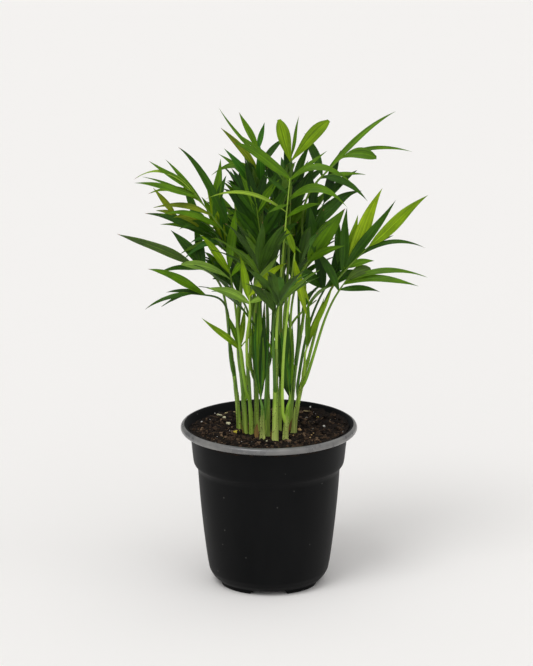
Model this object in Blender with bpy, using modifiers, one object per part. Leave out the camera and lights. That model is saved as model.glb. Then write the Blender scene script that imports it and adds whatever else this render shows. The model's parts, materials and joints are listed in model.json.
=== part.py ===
"""A parlour palm: a clump of young palms with feathered fronds, in a black plastic nursery pot.

Metres, +Z up. The origin is on the pot's axis at the level that its feet stand on, and the front is -Y.
Lengths in the tables are millimetres, made metres by MM, and angles are degrees. The fronds that show in the
photo are placed by where they lie in it: across it, up it, and back from the viewer, who looks a little down.
"""

import math
import random
from dataclasses import dataclass

import bmesh
import bpy
from mathutils import Vector
from mathutils.bvhtree import BVHTree

MM = 0.001
UP = Vector((0, 0, 1))
GAP = 0.3
VIEW_ELEVATION = math.radians(17.5)

# Pot: a turned shell with a rolled lip, a collar, a tapering body and four low feet.
POT_HEIGHT = 121.0
WALL = 1.5
LIP_RADIUS = 65.0
LIP_ROLL = 2.7
LIP_ARC = (140, 90, 40, -10, -70)
COLLAR_TOP = (57.9, 115.0)
COLLAR_FOOT = (55.8, 94.5)
COLLAR_STEP = ((55.2, 91.6), (53.6, 89.6))
BODY_TOP = (52.3, 87.0)
BODY_FOOT = (45.1, 16.5)
BODY_BOW = 0.75
BODY_RINGS = 3
CORNER = ((43.9, 10.5), (41.6, 6.4))
UNDERSIDE = (38.6, 3.3)
POT_STEPS = 36
FOOT_RADII = (32.5, 37.2)
FOOT_SLOPES = (0.8, 0.5)
FOOT_SINK = 0.8
NOTCH_HALF_WIDTHS = (14.5, 10.5)
DRAIN_RADIUS = 4.0
DRAIN_CIRCLE = 22.0
DRAIN_COUNT = 6
DRAIN_SIDES = 12

# Soil: it fills the pot nearly to the lip.
SOIL_LEVEL = 113.0
SOIL_STEPS = 24

# Stems: slim canes that start close together in the soil and lean apart, one for each seedling.
STEM_FEET = (
    (-21.9, 9.3), (-17.3, 0.6), (-12.9, -5.4), (-8.7, 4.6), (-4.6, -19.5), (-0.8, -6.0), (4.6, -21.0),
    (7.6, 7.6), (12.0, -18.6), (15.4, 14.6), (18.2, 0.4), (-9.0, 18.6), (4.4, 21.5),
)
STEM_HEIGHTS = (62, 72, 58, 84, 25, 80, 72, 90, 25, 78, 58, 72, 76)
STEM_RADII = (2.0, 2.1, 1.9, 2.1, 2.2, 2.0, 2.6, 1.9, 2.3, 2.0, 2.2, 2.0, 2.0)
STEM_TIP_SHARE = 0.60
STEM_SPREADS = (0.42, 0.40, 0.36, 0.30, 0.25, 0.30, 0.20, 0.60, 0.45, 0.70, 0.95, 0.35, 0.40)
STEM_SPREAD_HEIGHT = 90
STEM_BEND = 1.4
STEM_TAPER = 0.8
STEM_FLAT = 2.5
STEM_POINTS = 5

# Ribs: each frond's stalk and midrib, one limb that thins towards its tip.
STALK_RADIUS = 1.2
CROOK_RADIUS = 0.72
RIB_TIP_RADIUS = 0.40
STALK_POINTS = 7
RIB_POINTS = 3
TOP_RUN = 0.6
STALK_CLEAR = 0.15
LEAVING_TURN = 0.12
LEAVING_PULL = 0.42
CROOK_PULL = 0.30
RIB_SAG = 0.05

# Leaflets: thin blades with a keel under the midrib.
LEAF_THICKNESS = 0.8
LEAF_NECK = 1.1
LEAF_STATIONS = 4
CLEARANCE = 0.25
TRIES = 30
TRY_TURN = 47
TRY_STEP = 0.35


@dataclass
class Leaflet:
    share: float
    chord: Vector
    width: float
    arch: float
    face: Vector
    blunt: bool = False


@dataclass
class Frond:
    stem: int
    leave: float
    crook: Vector
    rachis: Vector
    leaflets: list


def seen(across, up, back):
    """The vector that reaches this far across and up the picture, and this far back from the viewer."""
    height = (up - back * math.sin(VIEW_ELEVATION)) / math.cos(VIEW_ELEVATION)
    return Vector((across, back, height))


def seen_chord(angle, back, length):
    """The vector at this angle in the picture, of this length there, that also turns this far back."""
    turn = math.radians(angle)
    return seen(length * math.cos(turn), length * math.sin(turn), length * math.tan(math.radians(back)))


def facing(tilt):
    """The unit vector that a blade faces: level towards the front at 0, and straight up at 90."""
    return Vector((0, -math.cos(math.radians(tilt)), math.sin(math.radians(tilt))))


# The fronds that the photo shows one by one, placed as the picture shows them. A row is the stem, the share of
# its height where the stalk leaves it, the crook where the leaflets start (across, up, back), the midrib (angle,
# back, length), the tilt of the blades' faces, and the leaflets: the share along the midrib, angle, back, length,
# width and arch, with a last True on a blunt one.
SHOWN_FRONDS = (
    (6, 1.0, (10, 236, -30), (85, -6, 58), 25, (
        (0.19, -37, -20, 16, 3, 1), (0.48, 19, -25, 28, 4, 3), (0.55, 172, -10, 60, 5, 10),
        (0.65, 205, -30, 16, 3, 1), (0.70, -7, -15, 43, 7, 12), (0.78, 142, -10, 23, 3.4, 1),
        (0.97, -5, -8, 47, 5.4, 12), (0.99, 37, 5, 34, 3.8, 0), (1.0, 148, 0, 49, 8, 3), (0.96, 137, 12, 50, 5, 2))),
    (7, 1.0, (16, 303, 2), (88, 0, 6), 12, (
        (0.2, 106, -5, 32, 9.6, 1, True), (0.4, 46.5, 0, 40, 9.6, 2, True), (1.0, 79, 5, 30, 2.8, 0))),
    (7, 0.80, (14, 262, 14), (84, 4, 28), 30, (
        (0.0, 112, 12, 48, 8, 3), (0.1, 62, 12, 44, 8, 3), (0.5, 126, 20, 44, 7, 4), (0.5, 46, 20, 38, 7, 4),
        (0.95, 100, 8, 34, 7, 2), (1.0, 66, 5, 32, 6, 2))),
    (3, 1.0, (-5, 279, 6), (95, 4, 37), 25, (
        (0.0, 128, -6, 45, 7.4, 2), (0.1, 138, 10, 43, 5, 3), (0.05, 93, -12, 38, 7.4, 1),
        (0.40, 177, 4, 36, 5.4, 9), (0.42, 129, 6, 46, 5.6, 4), (0.60, 50, 30, 30, 5, 3),
        (0.85, 129, 12, 46, 2.8, -2), (1.0, 117, -3, 30, 5.2, 1), (0.98, 76, 10, 21, 4.4, 1))),
    (1, 1.0, (-25, 244, -6), (126, -4, 50), 35, (
        (0.03, 120, -6, 80, 6.2, 12), (0.30, 168, -16, 46, 5.4, 6), (0.55, 172, 8, 44, 5, 5),
        (0.75, 130, 10, 44, 4.4, 1), (0.80, 170, 12, 40, 5, 7), (0.92, 168, -6, 47, 5.2, 2),
        (0.95, 161, 4, 42, 2.6, 1), (1.0, 145, 0, 40, 4.8, 1), (0.86, 163, 0, 50, 5.4, 13),
        (0.50, 84, 14, 44, 7, 2))),
    (1, 0.72, (-32, 246, 8), (147, 8, 43), 30, (
        (0.10, 160, 6, 59, 7.4, 4), (0.30, 168, 14, 38, 4.4, 3), (0.22, 155, -6, 33, 10, 7),
        (0.0, 192, 12, 34, 5, 4), (1.0, 130, 4, 26, 4.8, 0), (0.98, 167, 8, 16, 3.4, 1),
        (0.0, 108, 6, 46, 8, 3), (0.5, 112, 14, 36, 6, 3))),
    (0, 1.0, (-46, 227, 12), (155, 16, 12), 40, (
        (0.8, 157.5, 12, 62, 8.4, 2), (0.0, 131, 18, 40, 8.4, 2), (0.1, 104, 20, 34, 7, 3),
        (0.2, 184, 24, 34, 5, 3))),
    (0, 0.80, (-42, 208, -10), (172, -8, 15), 45, (
        (0.3, 156, -6, 46, 7.8, 3), (0.5, 176, 16, 26, 4, 2), (0.98, 199, -10, 36, 4, 3),
        (0.9, 187, 6, 24, 3.2, 1), (1.0, 203, 12, 24, 3.4, 2))),
    (2, 0.60, (-27, 217, -14), (100, 0, 12), 35, (
        (0.2, 163, -10, 38, 6.6, 4, True), (0.6, 128, -4, 36, 6.4, 2), (0.9, 84, -6, 44, 7.4, 2),
        (0.4, 40, -10, 30, 6, 3))),
    (2, 0.80, (-20, 168, -6), (100, -3, 4), 35, (
        (0.0, 140.5, -4, 38, 5.2, 1), (0.5, 112, 4, 28, 4.6, 0), (1.0, 84, -2, 30, 4.4, 0),
        (0.8, 46.7, -6, 34, 1.4, 2))),
    (2, 1.0, (-14, 200, -32), (92, -16, 8), 25, (
        (0.2, 160.5, -10, 33, 7.4, 3), (0.5, 102, -8, 33, 6.2, 1), (0.8, 54.5, -10, 38, 6, 1),
        (0.9, 40, -20, 37, 5.8, 3), (0.3, 19, -20, 24, 5, 1))),
    (8, 0.86, (18, 232, -36), (84, -10, 6), 15, (
        (0.3, -77, -5, 44, 5.8, -3), (0.2, -70, 6, 33, 5.2, -3), (1.0, 110, -6, 20, 5, 1))),
    (9, 1.0, (37, 293, 4), (45, 2, 24), 25, (
        (0.2, 41, 6, 69, 4.8, 5), (0.0, 5, 6, 34, 3.6, 2), (0.1, -29, -8, 38, 5.8, 5),
        (0.9, 1, -4, 26, 8.4, 4, True), (1.0, 4, 6, 51, 3.2, 5), (0.1, 112, 14, 34, 7, 3))),
    (9, 0.70, (28, 250, 6), (66, 4, 30), 25, (
        (0.0, 80, 4, 44, 8.4, 2), (0.2, 40, 6, 46, 8, 4), (0.5, 98, 10, 38, 7, 2), (0.6, 30, 14, 38, 6, 4),
        (1.0, 72, 0, 40, 7, 2), (1.0, 44, 6, 34, 6, 3))),
    (10, 1.0, (53.5, 224, -8), (47.5, -6, 29), 20, (
        (0.0, 86, 4, 48, 7.6, 1), (0.05, 54, -4, 64, 7.6, 1), (0.2, 66.5, 6, 63, 11, 2), (0.1, 77, 12, 42, 7.4, 1),
        (1.0, 40.5, -8, 55.5, 9.4, 1), (0.2, 14, -14, 20, 5.4, 2), (0.6, 7, -4, 49, 3.8, 8),
        (0.9, 26, 8, 22, 3, 1))),
    (10, 0.75, (50, 210, -10), (57, -8, 10), 45, (
        (0.8, -2, -10, 55, 6.8, 5), (1.0, 3, -6, 60, 5, 7), (0.3, -3, 8, 30, 5.4, 2),
        (0.9, 28, 4, 22, 8, 3, True), (0.2, 120, 10, 34, 7, 3), (0.6, 84, 14, 30, 7, 2))),
    (10, 0.60, (40, 212, 2), (60, 4, 22), 25, (
        (0.0, 100, -8, 36, 8, 2), (0.1, 22, -4, 32, 8, 4), (0.5, 70, 8, 38, 8.4, 2), (0.1, 150, -6, 30, 9, 2),
        (0.6, 36, 10, 34, 7.4, 4), (1.0, 90, 4, 34, 7, 1))),
    (8, 0.7, (27, 230, -20), (55, -6, 12), 15, (
        (0.2, 55, -4, 47, 13.4, 2), (0.6, 76, 8, 36, 8, 1), (0.1, 24, -20, 30, 6, 3), (0.9, 96, 6, 34, 7, 2))),
    (5, 1.0, (-4, 234, -6), (97, -8, 40), 25, (
        (0.0, 140, -16, 40, 8, 5), (0.05, 44, -12, 36, 8, 4), (0.35, 126, -10, 46, 8, 4),
        (0.4, 60, -10, 44, 8, 3), (0.75, 118, -4, 42, 7, 3), (0.8, 66, -6, 38, 7, 3),
        (1.0, 104, 0, 36, 6.4, 1))),
    (4, 1.0, (-6, 133, -18), (90, 2, 5), 8, (
        (0.0, 93.2, 3, 66, 6, 0), (0.5, 90.6, 1, 74, 6.4, 0), (1.0, 87.6, 3, 68, 6, 0))),
    (8, 1.0, (16.5, 134, -18), (96, 2, 5), 8, (
        (0.0, 107, 2, 52, 6.4, 0), (0.4, 101, 0, 56, 6.4, 0), (0.8, 93, -3, 58, 6, 0), (1.0, 86, 2, 56, 5, 0))),
    (10, 0.86, (27, 168, -6), (72, 0, 5), 20, (
        (0.0, 71, -2, 42, 4.2, 1), (1.0, 67, -6, 46, 4.2, 1), (0.5, 88, -8, 38, 4.4, 0))),
)

# The fronds behind and between those, in rings from low to high. A row is the number of fronds, the first
# heading, the crook's distance from the axis and height, the midrib's rise and length, the number of leaflets
# on each side, and their length.
FILL_RINGS = (
    (6, 52, 36, 208, 44, 26, 3, 54),
    (6, 66, 30, 234, 52, 30, 4, 58),
    (4, 60, 22, 258, 66, 30, 3, 54),
    (3, 90, 14, 280, 76, 26, 3, 44),
)
FILL_SEED = 23
FILL_CENTRE = Vector((1, 3, 0))
FILL_HEADING_JITTER = 13
FILL_SIDE_SHARE = 0.62
FILL_LEAF_WIDTH = 8.0
FILL_ANGLES = (46, 16)
FILL_ANGLE_JITTER = 7
FILL_LIFT = 0.25
FILL_LENGTH_SHARES = (0.82, 0.3)
FILL_LENGTH_JITTER = (0.85, 1.1)
FILL_WIDTH_JITTER = (0.85, 1.15)
FILL_FACE_TURN = 0.35
FILL_FACE_LIFT = 0.15
FILL_LEAF_SHARES = (0.06, 0.96)
FILL_ARCH = (2, 6)
FILL_HEIGHT_JITTER = 6
FILL_LEAVES_AT = (0.35, 0.95)
FOOT_SHARE = 0.45
USED_COST = 6
SPACE_CENTRE = 3
SPACE = ((165, 30), (200, 58), (238, 72), (272, 68), (298, 46), (316, 26), (328, 6))


def shown_frond(stem, leave, crook, rib, tilt, rows):
    leaflets = []
    for share, angle, back, length, width, arch, *blunt in rows:
        chord = seen_chord(angle, back, length)
        leaflets.append(Leaflet(share, chord, width, arch, facing(tilt), bool(blunt)))
    return Frond(stem, leave, seen(*crook), seen_chord(*rib), leaflets)


def level_vector(heading, rise):
    level = math.cos(math.radians(rise))
    turn = math.radians(heading)
    return Vector((level * math.cos(turn), level * math.sin(turn), math.sin(math.radians(rise))))


def nearest_stem(point, used):
    """The stem for a crook at this point: the nearest to it, counting each frond that a stem has as farther."""
    def cost(index):
        foot = Vector(STEM_FEET[index]).to_3d()
        flat = Vector((point.x, point.y, 0)) * FOOT_SHARE
        return (foot - flat).length + USED_COST * used[index]
    return min(range(len(STEM_FEET)), key=cost)


def fill_leaflets(rib_direction, pairs, length, rng):
    """Pairs of leaflets that turn towards the midrib's tip, and one at its end."""
    side = rib_direction.cross(UP).normalized()
    face = side.cross(rib_direction).normalized()
    wide, narrow = FILL_ANGLES
    leaflets = []
    for pair in range(pairs):
        share = pair / max(pairs - 1, 1)
        for hand in (-1, 1):
            off = math.radians(wide + (narrow - wide) * share + rng.uniform(-1, 1) * FILL_ANGLE_JITTER)
            lift = rng.uniform(0, FILL_LIFT)
            heading = rib_direction * math.cos(off) + side * hand * math.sin(off) + UP * lift
            low, swell = FILL_LENGTH_SHARES
            size = length * (low + swell * math.sin(math.pi * (0.2 + 0.7 * share)))
            size *= rng.uniform(*FILL_LENGTH_JITTER)
            width = FILL_LEAF_WIDTH * rng.uniform(*FILL_WIDTH_JITTER)
            leaf_face = face - side * hand * FILL_FACE_TURN + UP * FILL_FACE_LIFT
            first, last = FILL_LEAF_SHARES
            leaflets.append(Leaflet(first + (last - first) * share, heading.normalized() * size, width,
                                    rng.uniform(*FILL_ARCH), leaf_face))
    return leaflets


def fill_fronds():
    """The ring fronds, each from the stem that is nearest and least used."""
    rng = random.Random(FILL_SEED)
    used = [sum(row[0] == index for row in SHOWN_FRONDS) for index in range(len(STEM_FEET))]
    fronds = []
    for count, first, distance, height, rise, rib_length, pairs, length in FILL_RINGS:
        for k in range(count):
            heading = first + 360 * k / count + rng.uniform(-1, 1) * FILL_HEADING_JITTER
            sideways = abs(math.cos(math.radians(heading)))
            reach = 1 - (1 - FILL_SIDE_SHARE) * sideways
            crook = FILL_CENTRE + level_vector(heading, 0) * distance * reach
            crook.z = height + rng.uniform(-1, 1) * FILL_HEIGHT_JITTER
            stem = nearest_stem(crook, used)
            used[stem] += 1
            rib_direction = level_vector(heading, rise)
            leaflets = fill_leaflets(rib_direction, pairs, length * reach, rng)
            leave = rng.uniform(*FILL_LEAVES_AT) if used[stem] > 1 else 1.0
            fronds.append(Frond(stem, leave, crook, rib_direction * rib_length * reach, leaflets))
    return fronds


def inside_space(point):
    """Whether a fill leaflet that ends here stays in the plant's outline, as seen from the front."""
    up = point.z * math.cos(VIEW_ELEVATION) + point.y * math.sin(VIEW_ELEVATION)
    for (low, low_half), (high, high_half) in zip(SPACE, SPACE[1:]):
        if low <= up <= high:
            half = low_half + (high_half - low_half) * (up - low) / (high - low)
            return abs(point.x - SPACE_CENTRE) <= half
    return False


def stem_point(index, share):
    """A point on a stem's axis, from its foot at 0 to its top at 1."""
    x, y = STEM_FEET[index]
    height = STEM_HEIGHTS[index]
    lean = 1 + STEM_SPREADS[index] * share ** STEM_BEND * height / STEM_SPREAD_HEIGHT
    return Vector((x * lean, y * lean, SOIL_LEVEL + GAP + height * share))


def stem_radius(index, share):
    return STEM_RADII[index] * (1 + (STEM_TIP_SHARE - 1) * share ** STEM_TAPER)


def rib_start(frond):
    """Where the stalk leaves the stem, just clear of it, and its direction there."""
    near = stem_point(frond.stem, frond.leave)
    along = (stem_point(frond.stem, 1) - stem_point(frond.stem, TOP_RUN)).normalized()
    if frond.leave >= 1:
        return near + along * GAP, along
    out = frond.crook - near
    out -= along * out.dot(along)
    out.normalize()
    clear = stem_radius(frond.stem, frond.leave) + STALK_RADIUS + GAP + STALK_CLEAR
    return near + out * clear, (along + out * LEAVING_TURN).normalized()


def bezier(a, b, c, d, t):
    s = 1 - t
    return a * s ** 3 + b * 3 * s * s * t + c * 3 * s * t * t + d * t ** 3


def rib_point(frond, share):
    """A point on the midrib, from the crook at 0 to its tip at 1."""
    sag = UP * frond.rachis.length * RIB_SAG * share * share
    return frond.crook + frond.rachis * share - sag


def rib_line(frond, stalk_points=STALK_POINTS, rib_points=RIB_POINTS):
    """The stalk's and midrib's points, with the radius at each."""
    start, leaving = rib_start(frond)
    reach = (frond.crook - start).length
    first = start + leaving * reach * LEAVING_PULL
    last = frond.crook - frond.rachis.normalized() * reach * CROOK_PULL
    line = [bezier(start, first, last, frond.crook, k / stalk_points) for k in range(stalk_points)]
    line += [rib_point(frond, k / rib_points) for k in range(rib_points + 1)]
    radii = [STALK_RADIUS + (CROOK_RADIUS - STALK_RADIUS) * k / stalk_points for k in range(stalk_points)]
    radii += [CROOK_RADIUS + (RIB_TIP_RADIUS - CROOK_RADIUS) * k / rib_points for k in range(rib_points + 1)]
    return line, radii


def leaf_width(leaflet, t):
    """The blade's width, widest before the middle, or near the tip on a blunt one."""
    if leaflet.blunt:
        swell = math.sin(math.pi * min(t, 0.97) ** 1.5) ** 0.6
    else:
        swell = math.sin(math.pi * min(t, 0.995) ** 0.8) ** 0.9
    return max(leaflet.width * swell, LEAF_NECK * (1 - t))


def leaf_sections(leaflet, base, stations, grow=0.0):
    """Three corners a station, left edge, right edge and keel, and the tip."""
    chord = leaflet.chord
    along = chord.normalized()
    side = along.cross(leaflet.face).normalized()
    face = side.cross(along).normalized()
    thickness = max(LEAF_THICKNESS, chord.length / 90) + grow
    sections = []
    for k in range(stations):
        t = k / stations
        middle = base + chord * t + UP * 4 * leaflet.arch * t * (1 - t)
        half = leaf_width(leaflet, t) / 2 + grow
        rise = face * thickness * 0.5
        sections.append((middle - side * half + rise, middle + side * half + rise, middle - rise))
    return sections, base + chord + along * grow


def leaf_faces(stations):
    """Corner indices of the closed blade that leaf_sections describes."""
    faces = [(0, 1, 2)]
    for k in range(stations - 1):
        low, high = 3 * k, 3 * k + 3
        for a, b in ((0, 1), (1, 2), (2, 0)):
            faces.append((low + b, low + a, high + a, high + b))
    last = 3 * (stations - 1)
    tip = last + 3
    faces += [(last + 1, last, tip), (last + 2, last + 1, tip), (last, last + 2, tip)]
    return faces


def leaf_shape(leaflet, base, stations=LEAF_STATIONS, grow=0.0):
    sections, tip = leaf_sections(leaflet, base, stations, grow)
    corners = [corner for section in sections for corner in section] + [tip]
    return corners, leaf_faces(stations)


def tube_shape(line, radii, sides=8, grow=0.0):
    """Rings round a line, as a plain open tube for the tests of what touches what."""
    corners = []
    for k, (point, radius) in enumerate(zip(line, radii)):
        along = (line[min(k + 1, len(line) - 1)] - line[max(k - 1, 0)]).normalized()
        side = along.cross(Vector((0.3, 1, 0.1))).normalized()
        other = along.cross(side)
        for j in range(sides):
            turn = 2 * math.pi * j / sides
            corners.append(point + (side * math.cos(turn) + other * math.sin(turn)) * (radius + grow))
    faces = []
    for k in range(len(line) - 1):
        for j in range(sides):
            near, far = sides * k, sides * (k + 1)
            after = (j + 1) % sides
            faces.append((near + j, near + after, far + after, far + j))
    return corners, faces


def tree_of(shape):
    corners, faces = shape
    return BVHTree.FromPolygons(corners, faces)


def touches(shape, placed):
    tree = tree_of(shape)
    return any(tree.overlap(other) for other in placed)


def stem_line(index):
    shares = [0, STEM_FLAT / STEM_HEIGHTS[index]]
    shares += [k / (STEM_POINTS - 1) for k in range(1, STEM_POINTS)]
    line = [stem_point(index, share) for share in shares]
    line[1].xy = line[0].xy
    return line, [stem_radius(index, share) for share in shares]


def spiral(attempt):
    """A step away from the wanted place that grows with each attempt."""
    turn = math.radians(TRY_TURN * attempt)
    return Vector((math.cos(turn), math.sin(turn), 0.3 * math.sin(2 * turn))) * TRY_STEP * attempt


def clear_frond(frond, placed):
    """Moves the crook a little until the rib is clear, then keeps the leaflets that touch nothing."""
    wanted = frond.crook.copy()
    for attempt in range(TRIES):
        frond.crook = wanted + spiral(attempt)
        line, radii = rib_line(frond)
        if not touches(tube_shape(line, radii, grow=CLEARANCE), placed):
            break
    else:
        return None
    kept = []
    for leaflet in frond.leaflets:
        base = rib_point(frond, leaflet.share)
        if not touches(leaf_shape(leaflet, base, grow=CLEARANCE), placed):
            kept.append(leaflet)
    frond.leaflets = kept
    return frond


def frond_trees(frond):
    """The test shapes of a frond that has its place."""
    line, radii = rib_line(frond)
    shapes = [tube_shape(line, radii)]
    shapes += [leaf_shape(leaflet, rib_point(frond, leaflet.share)) for leaflet in frond.leaflets]
    return [tree_of(shape) for shape in shapes]


def planned_fronds():
    """Every frond with the leaflets that it keeps, the shown ones first."""
    placed = [tree_of(tube_shape(*stem_line(index))) for index in range(len(STEM_FEET))]
    fronds = []
    fills = fill_fronds()
    for frond in fills:
        frond.leaflets = [leaf for leaf in frond.leaflets
                          if inside_space(rib_point(frond, leaf.share) + leaf.chord)]
    for wanted in [shown_frond(*row) for row in SHOWN_FRONDS] + fills:
        frond = clear_frond(wanted, placed)
        if frond is None or len(frond.leaflets) < 2:
            print("no room for a frond at", tuple(round(value) for value in wanted.crook))
            continue
        placed += frond_trees(frond)
        fronds.append(frond)
    return fronds


def clear_scene():
    for obj in list(bpy.data.objects):
        bpy.data.objects.remove(obj)


def collection(name):
    made = bpy.data.collections.new(name)
    bpy.context.scene.collection.children.link(made)
    return made


def material(name, colour, roughness):
    made = bpy.data.materials.new(name)
    made.use_nodes = True
    shader = made.node_tree.nodes["Principled BSDF"]
    shader.inputs["Base Color"].default_value = (*colour, 1)
    shader.inputs["Roughness"].default_value = roughness
    made.diffuse_color = (*colour, 1)
    return made


def add_object(name, data, into, surface=None):
    obj = bpy.data.objects.new(name, data)
    into.objects.link(obj)
    if surface:
        data.materials.append(surface)
    return obj


def evaluated_mesh(obj):
    bpy.context.view_layer.update()
    graph = bpy.context.evaluated_depsgraph_get()
    return bpy.data.meshes.new_from_object(obj.evaluated_get(graph))


def turned(name, profile, steps, into, surface=None):
    """A profile of (radius, height) points in millimetres, turned round Z."""
    mesh = bpy.data.meshes.new(name)
    points = [(radius * MM, 0, height * MM) for radius, height in profile]
    mesh.from_pydata(points, [(k, k + 1) for k in range(len(points) - 1)], [])
    obj = add_object(name, mesh, into, surface)
    screw = obj.modifiers.new("Turn", "SCREW")
    screw.steps = steps
    screw.render_steps = steps
    screw.use_merge_vertices = True
    screw.merge_threshold = 0.00005
    screw.use_smooth_shade = False
    return obj


def boolean(obj, name, operation, others):
    modifier = obj.modifiers.new(name, "BOOLEAN")
    modifier.operation = operation
    modifier.operand_type = "COLLECTION"
    modifier.collection = others
    modifier.solver = "EXACT"
    return modifier


def lip_profile():
    """The rolled lip, from its inner side over the top to its outer side."""
    centre_radius = LIP_RADIUS - LIP_ROLL
    centre_height = POT_HEIGHT - LIP_ROLL
    points = []
    for degrees in LIP_ARC:
        turn = math.radians(degrees)
        points.append((centre_radius + LIP_ROLL * math.cos(turn), centre_height + LIP_ROLL * math.sin(turn)))
    return points


def body_profile():
    """The bowed side of the pot's body, from its top to its foot."""
    points = []
    for k in range(BODY_RINGS + 1):
        t = k / BODY_RINGS
        radius = BODY_TOP[0] + (BODY_FOOT[0] - BODY_TOP[0]) * t + BODY_BOW * 4 * t * (1 - t)
        points.append((radius, BODY_TOP[1] + (BODY_FOOT[1] - BODY_TOP[1]) * t))
    return points


def inner_profile():
    """The pot's inner side, from the floor up to the lip."""
    floor = UNDERSIDE[1] + WALL
    side = [*COLLAR_STEP, *body_profile(), *CORNER]
    points = [(0, floor), (UNDERSIDE[0] - 1, floor)]
    points += [(radius - WALL, height + WALL * 0.4) for radius, height in reversed(side)]
    points += [(COLLAR_FOOT[0] - WALL, COLLAR_FOOT[1]), (COLLAR_TOP[0] - WALL, COLLAR_TOP[1])]
    return points


def build_pot(parts, cutters, surface):
    """The shell, with the foot ring joined on, and notches and drain holes cut."""
    outer = [*lip_profile(), COLLAR_TOP, COLLAR_FOOT, *COLLAR_STEP, *body_profile(), *CORNER, UNDERSIDE]
    profile = [*outer, (0, UNDERSIDE[1])]
    inner = inner_profile()
    pot = turned("pot", profile + inner + [outer[0]], POT_STEPS, parts, surface)
    feet = collection("pot feet")
    inner_foot, outer_foot = FOOT_RADII
    top = UNDERSIDE[1] + FOOT_SINK
    outer_slope, inner_slope = FOOT_SLOPES
    ring = [(outer_foot, top), (outer_foot - outer_slope, 0), (inner_foot + inner_slope, 0), (inner_foot, top),
            (outer_foot, top)]
    foot_ring = turned("foot_ring", ring, POT_STEPS, feet)
    notches = collection("foot notches")
    for k in range(2):
        add_notch(notches, 90 * k)
    hide_helpers(notches)
    boolean(foot_ring, "Notches", "DIFFERENCE", notches)
    hide_helpers(feet)
    boolean(pot, "Feet", "UNION", feet)
    for k in range(DRAIN_COUNT):
        add_drain(cutters, 360 * k / DRAIN_COUNT)
    hide_helpers(cutters)
    boolean(pot, "Drain holes", "DIFFERENCE", cutters)
    return pot


def add_notch(into, degrees):
    """A bar across the foot ring, wider at the bottom, that leaves sloped ends on the feet."""
    low, high = NOTCH_HALF_WIDTHS
    shape = bmesh.new()
    bmesh.ops.create_cube(shape, size=2)
    for corner in shape.verts:
        half = low if corner.co.z < 0 else high
        height = -1.0 if corner.co.z < 0 else UNDERSIDE[1] + 2 * FOOT_SINK
        corner.co = Vector((corner.co.x * LIP_RADIUS, corner.co.y * half, height)) * MM
    mesh = bpy.data.meshes.new("notch")
    shape.to_mesh(mesh)
    shape.free()
    notch = add_object("notch", mesh, into)
    notch.rotation_euler.z = math.radians(degrees)


def add_drain(into, degrees):
    shape = bmesh.new()
    depth = 4 * WALL * MM
    bmesh.ops.create_cone(shape, cap_ends=True, segments=DRAIN_SIDES, radius1=DRAIN_RADIUS * MM,
                          radius2=DRAIN_RADIUS * MM, depth=depth)
    mesh = bpy.data.meshes.new("drain")
    shape.to_mesh(mesh)
    shape.free()
    drain = add_object("drain", mesh, into)
    turn = math.radians(degrees)
    radius = DRAIN_CIRCLE * MM
    drain.location = (radius * math.cos(turn), radius * math.sin(turn), (UNDERSIDE[1] + WALL / 2) * MM)


def hide_helpers(helpers):
    for obj in helpers.objects:
        obj.hide_render = True
        obj.display_type = "WIRE"


def build_soil(parts, surface):
    """A plug that fills the pot, a small gap clear of its wall and floor."""
    wall = [(radius - GAP, height + GAP) for radius, height in inner_profile()]
    below = [(radius, height) for radius, height in wall if height < SOIL_LEVEL - 1]
    top_radius = COLLAR_TOP[0] - WALL - 2 * GAP
    profile = [(0, SOIL_LEVEL), (top_radius, SOIL_LEVEL), *reversed(below[1:]), (0, below[0][1])]
    return turned("soil", profile, SOIL_STEPS, parts, surface)


def tube_object(name, line, radii, resolution, into, surface=None):
    """A tapering limb: a curve with filled caps, made a mesh so that it can be joined."""
    curve = bpy.data.curves.new(name, "CURVE")
    curve.dimensions = "3D"
    curve.bevel_depth = MM
    curve.bevel_resolution = resolution
    curve.use_fill_caps = True
    spline = curve.splines.new("POLY")
    spline.points.add(len(line) - 1)
    for point, place, radius in zip(spline.points, line, radii):
        point.co = (*(place * MM), 1)
        point.radius = radius
    guide = add_object(name + "_guide", curve, into)
    mesh = evaluated_mesh(guide)
    bpy.data.objects.remove(guide)
    mesh.materials.clear()
    weld(mesh)
    return add_object(name, mesh, into, surface)


def weld(mesh):
    shape = bmesh.new()
    shape.from_mesh(mesh)
    bmesh.ops.remove_doubles(shape, verts=shape.verts, dist=0.000001)
    bmesh.ops.recalc_face_normals(shape, faces=shape.faces)
    shape.to_mesh(mesh)
    shape.free()


def build_stem(index, parts, surface):
    line, radii = stem_line(index)
    return tube_object(f"stem_{index + 1:02}", line, radii, 1, parts, surface)


def leaf_object(leaflet, base, into):
    corners, faces = leaf_shape(leaflet, base)
    mesh = bpy.data.meshes.new("leaflet")
    mesh.from_pydata([corner * MM for corner in corners], [], faces)
    weld(mesh)
    return add_object("leaflet", mesh, into)


def build_frond(number, frond, parts, surface):
    """The rib with its leaflets joined on by one union, kept as one plain mesh."""
    name = f"frond_{number:02}"
    line, radii = rib_line(frond)
    rib = tube_object(name, line, radii, 0, parts)
    leaves = collection(name + " leaflets")
    for leaflet in frond.leaflets:
        leaf_object(leaflet, rib_point(frond, leaflet.share), leaves)
    boolean(rib, "Leaflets", "UNION", leaves)
    joined = evaluated_mesh(rib)
    rib.modifiers.clear()
    rib.data = joined
    joined.materials.clear()
    joined.materials.append(surface)
    for obj in list(leaves.objects):
        bpy.data.objects.remove(obj)
    bpy.data.collections.remove(leaves)
    return rib


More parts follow.
